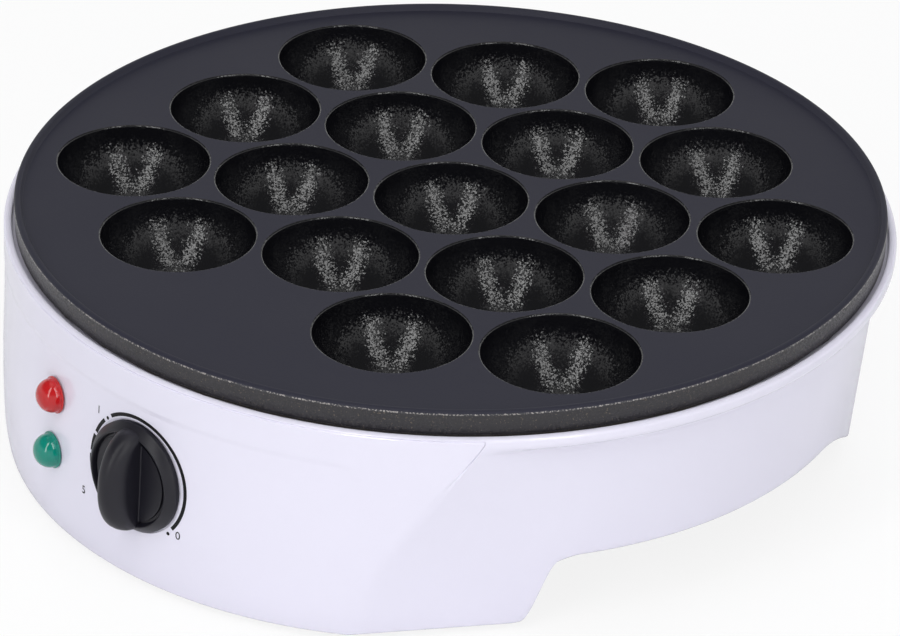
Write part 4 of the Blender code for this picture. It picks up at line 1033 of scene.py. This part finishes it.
def add_glitter(made, scale, tilt):
    """Gives a finish grains that each face a little differently, under its relief."""
    tree = made.node_tree
    facets = place_group(tree, glitter, Scale=scale, Tilt=tilt)
    bump = next(node for node in tree.nodes if node.type == "BUMP")
    wire(tree, (facets, "Normal", bump, "Normal"))
    return made


print("finish helper ready")

# %% [markdown]
# ## The finishes
# The casing is glossy white plastic with a cold tint, and the dial is satin black. Inside are
# bright sheet, heat-darkened steel, ceramic, brass and sleeved leads. Each is one line of values
# for the finish helper: two tones, two roughnesses, the grain's scale and relief, and 1 for a
# metal. A few have a clear coat or a weaker reflection as well.

# %% Make each finish
looks = {
    "white_plastic": ((0.80, 0.78, 0.895), (0.78, 0.76, 0.885), (0.16, 0.22), 700, 0.02),
    "black_coating": ((0.021, 0.021, 0.034), (0.025, 0.025, 0.039), (0.50, 0.58), 1500, 0.30),
    "black_plastic": ((0.006, 0.006, 0.010), (0.009, 0.008, 0.014), (0.36, 0.44), 1200, 0.12),
    "red_lens": ((0.52, 0.010, 0.013), (0.42, 0.008, 0.010), (0.05, 0.10), 300, 0.03),
    "green_lens": ((0.0, 0.26, 0.19), (0.0, 0.20, 0.15), (0.05, 0.10), 300, 0.03),
    "bare_steel": ((0.55, 0.55, 0.56), (0.47, 0.47, 0.48), (0.28, 0.42), 900, 0.15, 1.0),
    "bright_sheet": ((0.72, 0.72, 0.74), (0.66, 0.66, 0.68), (0.18, 0.28), 600, 0.10, 1.0),
    "element_sheath": ((0.22, 0.21, 0.20), (0.14, 0.12, 0.11), (0.42, 0.60), 800, 0.30, 1.0),
    "ceramic": ((0.80, 0.77, 0.70), (0.74, 0.70, 0.63), (0.50, 0.62), 900, 0.25),
    "brass": ((0.78, 0.60, 0.28), (0.66, 0.49, 0.22), (0.24, 0.38), 700, 0.12, 1.0),
    "rubber": ((0.035, 0.035, 0.035), (0.05, 0.05, 0.05), (0.72, 0.85), 900, 0.35),
    "gasket": ((0.05, 0.045, 0.04), (0.08, 0.07, 0.06), (0.80, 0.92), 700, 0.5),
    "grey_plastic": ((0.09, 0.09, 0.10), (0.11, 0.11, 0.12), (0.48, 0.60), 900, 0.30),
    "bulb_glass": ((0.95, 0.55, 0.30), (0.90, 0.48, 0.24), (0.03, 0.08), 200, 0.02),
    "brown_wire": ((0.20, 0.07, 0.03), (0.16, 0.05, 0.02), (0.45, 0.58), 900, 0.15),
    "blue_wire": ((0.03, 0.12, 0.42), (0.02, 0.09, 0.34), (0.45, 0.58), 900, 0.15),
    "green_wire": ((0.16, 0.38, 0.06), (0.30, 0.42, 0.05), (0.45, 0.58), 900, 0.15),
}
shine = {
    "white_plastic": dict(mottle_scale=12, Coat_Weight=0.3, Coat_Roughness=0.08),
    "black_coating": dict(Specular_IOR_Level=0.20),
    "black_plastic": dict(Specular_IOR_Level=0.36),
    "red_lens": dict(Specular_IOR_Level=0.4, Coat_Weight=0.25, Coat_Roughness=0.03),
    "green_lens": dict(Specular_IOR_Level=0.4, Coat_Weight=0.25, Coat_Roughness=0.03),
}
finishes = {name: finish(name, *look, **shine.get(name, {})) for name, look in looks.items()}
print("finishes:", len(finishes))

# %% [markdown]
# ## The plate's other coatings and the ink
# The plate's coating is a dark blue-grey on the flat. In the cups it is nearly black, which is
# painted shade, with glittering grains. It is browner on the side, and paler along the rim's edge,
# which is partly wear and partly a painted highlight. The scale is dull black ink.

# %% Cups, side, worn edge and ink
# The cups' coating is a darker copy of the flat's coating: painted shade for their hollows.
cup_painted_shade_coating = finish("cup_painted_shade_coating", (0.003, 0.003, 0.004), (0.005, 0.005, 0.007),
                     (0.12, 0.18), 1300, 0.3)
add_glitter(cup_painted_shade_coating, 2900, 0.19)
edge_coating = finish("edge_coating", (0.015, 0.014, 0.018), (0.022, 0.020, 0.022),
                      (0.34, 0.44), 1300, 0.5)
add_glitter(add_flecks(edge_coating, 2100, 0.66, (0.12, 0.10, 0.08), 0.5), 2600, 0.30)
# The rim's edge is paler with bright flecks: partly wear, partly a painted highlight.
worn_and_highlight_coating = finish("worn_and_highlight_coating", (0.030, 0.030, 0.036), (0.040, 0.040, 0.046),
                      (0.30, 0.40), 1300, 0.5)
add_glitter(add_flecks(worn_and_highlight_coating, 2300, 0.52, (0.30, 0.28, 0.27), 0.3), 2600, 0.4)
ink = finish("scale_ink", (0.004, 0.004, 0.005), (0.007, 0.007, 0.008), (0.45, 0.55), 900, 0.05,
             Specular_IOR_Level=0.2)
print("further finishes:", cup_painted_shade_coating.name, edge_coating.name, worn_and_highlight_coating.name, ink.name)

# %% [markdown]
# ## Dressing every piece
# The record says which slot each solid takes, so the solids that stay are dressed in one loop.
# The new surfaces take the same finishes. The plate's slots 1 to 3 are the cups with their
# painted shade, the side, and the rim's edge, which is partly wear and partly a painted highlight.

# %% Assign the finishes
for part in frame["record"]["subparts"]:
    node = frame["nodes"][part["node"]]
    node.data.materials.clear()
    node.data.materials.append(finishes[part["material_slot"]])
dressed = {casing: "white_plastic", plate: "black_coating", knob_skirt: "black_plastic",
           knob_bar: "black_plastic", red_lens: "red_lens", green_lens: "green_lens"}
for piece, slot in dressed.items():
    piece.data.materials.append(finishes[slot])
for coating in (cup_painted_shade_coating, edge_coating, worn_and_highlight_coating):
    plate.data.materials.append(coating)
for piece in (scale_marks, numbers):
    piece.data.materials.append(ink)
in_slots = [face.material_index for face in plate.data.polygons]
print("faces in the plate's slots:", [in_slots.count(slot) for slot in range(4)])

# %% [markdown]
# ## The sheet below
# The appliance stands on a plain pale sheet, which the camera sees nearly white. It keeps a soft
# shadow, because only part of what the camera gets from it glows by itself.

# %% Floor
glow_share = 0.86
work = bmesh.new()
bmesh.ops.create_grid(work, x_segments=1, y_segments=1, size=3.0)
floor = new_piece("floor", work)
floor_paint = bpy.data.materials.new("floor_paint")
floor_paint.use_nodes = True
tree = floor_paint.node_tree
floor_shader = set_inputs(tree.nodes["Principled BSDF"], Base_Color=(0.93, 0.93, 0.93, 1),
                          Roughness=0.9, Specular_IOR_Level=0.0)
glow = new_node(tree, "ShaderNodeEmission", Color=(1, 1, 1, 1), Strength=1.0)
path = new_node(tree, "ShaderNodeLightPath")
share = new_node(tree, "ShaderNodeMath", "MULTIPLY")
share.inputs[1].default_value = glow_share
blend = new_node(tree, "ShaderNodeMixShader")
wire(tree, (path, "Is Camera Ray", share, 0), (share, "Value", blend, "Fac"),
     (floor_shader, "BSDF", blend, 1), (glow, "Emission", blend, 2),
     (blend, "Shader", tree.nodes["Material Output"], "Surface"))
floor.data.materials.append(floor_paint)
print("floor nodes:", len(tree.nodes))

# %% [markdown]
# ## What surrounds the sheet
# A pale sky fills the shadows. What the camera and the mirrors see past the sheet is white near
# the horizon and dark overhead, as in a studio with a dark ceiling. The Light Path node keeps
# that apart from the light on the object.

# %% World
world = bpy.data.worlds.new("studio")
bpy.context.scene.world = world
world.use_nodes = True
tree = world.node_tree
tree.nodes.clear()
output = new_node(tree, "ShaderNodeOutputWorld")
sky = new_node(tree, "ShaderNodeBackground", Color=(0.97, 0.98, 1.0, 1), Strength=0.47)
seen = new_node(tree, "ShaderNodeBackground", Color=(1, 1, 1, 1))
aim = new_node(tree, "ShaderNodeTexCoord")
parts = new_node(tree, "ShaderNodeSeparateXYZ")
fall = new_node(tree, "ShaderNodeMapRange", From_Min=0.26, From_Max=0.60, To_Min=1.0, To_Max=0.15)
fall.interpolation_type = "SMOOTHSTEP"
path = new_node(tree, "ShaderNodeLightPath")
mirrored = new_node(tree, "ShaderNodeMath", "MAXIMUM")
direct = new_node(tree, "ShaderNodeMath", "MAXIMUM")
choose = new_node(tree, "ShaderNodeMixShader")
wire(tree, (aim, "Generated", parts, "Vector"), (parts, "Z", fall, "Value"),
     (fall, "Result", seen, "Strength"), (path, "Is Glossy Ray", mirrored, 0),
     (path, "Is Transmission Ray", mirrored, 1), (path, "Is Camera Ray", direct, 0),
     (mirrored, "Value", direct, 1), (direct, "Value", choose, "Fac"),
     (sky, "Background", choose, 1), (seen, "Background", choose, 2),
     (choose, "Shader", output, "Surface"))
print("world nodes:", len(tree.nodes))

# %% [markdown]
# ## Soft lamps
# Two tall soft strips beside the camera make the twin reflections in the cups, and a soft box
# stands high behind. A place is an azimuth from the camera, an angle of height, a distance.

# %% Lamps
middle = Vector((axis_x, axis_y, plate_top))
camera_azimuth = 50.72
lamps = (("left_strip", (-32, 42, 1.3), (0.20, 1.7), 6.8),
         ("right_strip", (30, 42, 1.3), (0.20, 1.7), 5.9),
         ("top_softbox", (180, 75, 1.6), (1.2, 1.2), 3.2))


def lamp_place(azimuth, elevation, distance):
    level = distance * math.cos(math.radians(elevation))
    turn = math.radians(camera_azimuth + azimuth)
    return middle + Vector((level * math.sin(turn), -level * math.cos(turn),
                            distance * math.sin(math.radians(elevation))))


for name, stand, size, power in lamps:
    light = bpy.data.lights.new(name, "AREA")
    light.shape = "RECTANGLE"
    light.size, light.size_y = size
    light.energy = power
    lamp = add_object(name, light)
    lamp.location = lamp_place(*stand)
    lamp.rotation_euler = (middle - lamp_place(*stand)).to_track_quat("-Z", "Y").to_euler()
print("lamps:", [name for name, stand, size, power in lamps])

# %% [markdown]
# ## Camera
# The photograph was taken from well back with a long lens, from the right of the panel and about
# 30 degrees up. The ring of the plate and the grid of cups gave its place and direction.

# %% Camera
camera_data = bpy.data.cameras.new("camera")
camera_data.sensor_fit = "HORIZONTAL"
camera_data.sensor_width = 36.0
camera_data.lens = 208.602
camera = add_object("camera", camera_data)
right = Vector((0.622229, 0.782425, 0.025343))
down = Vector((0.395721, -0.286437, -0.872559))
forward = Vector((-0.675453, 0.552960, -0.487852))
turned = Matrix((right, -down, -forward)).transposed().to_4x4()
place = Vector((0.942084 + axis_x, -0.770474 + axis_y, 0.64371 + plate_top))
camera.matrix_world = Matrix.Translation(place) @ turned
bpy.context.scene.camera = camera
bpy.context.scene.view_settings.view_transform = "Standard"
print("camera at", tuple(round(value, 4) for value in place))
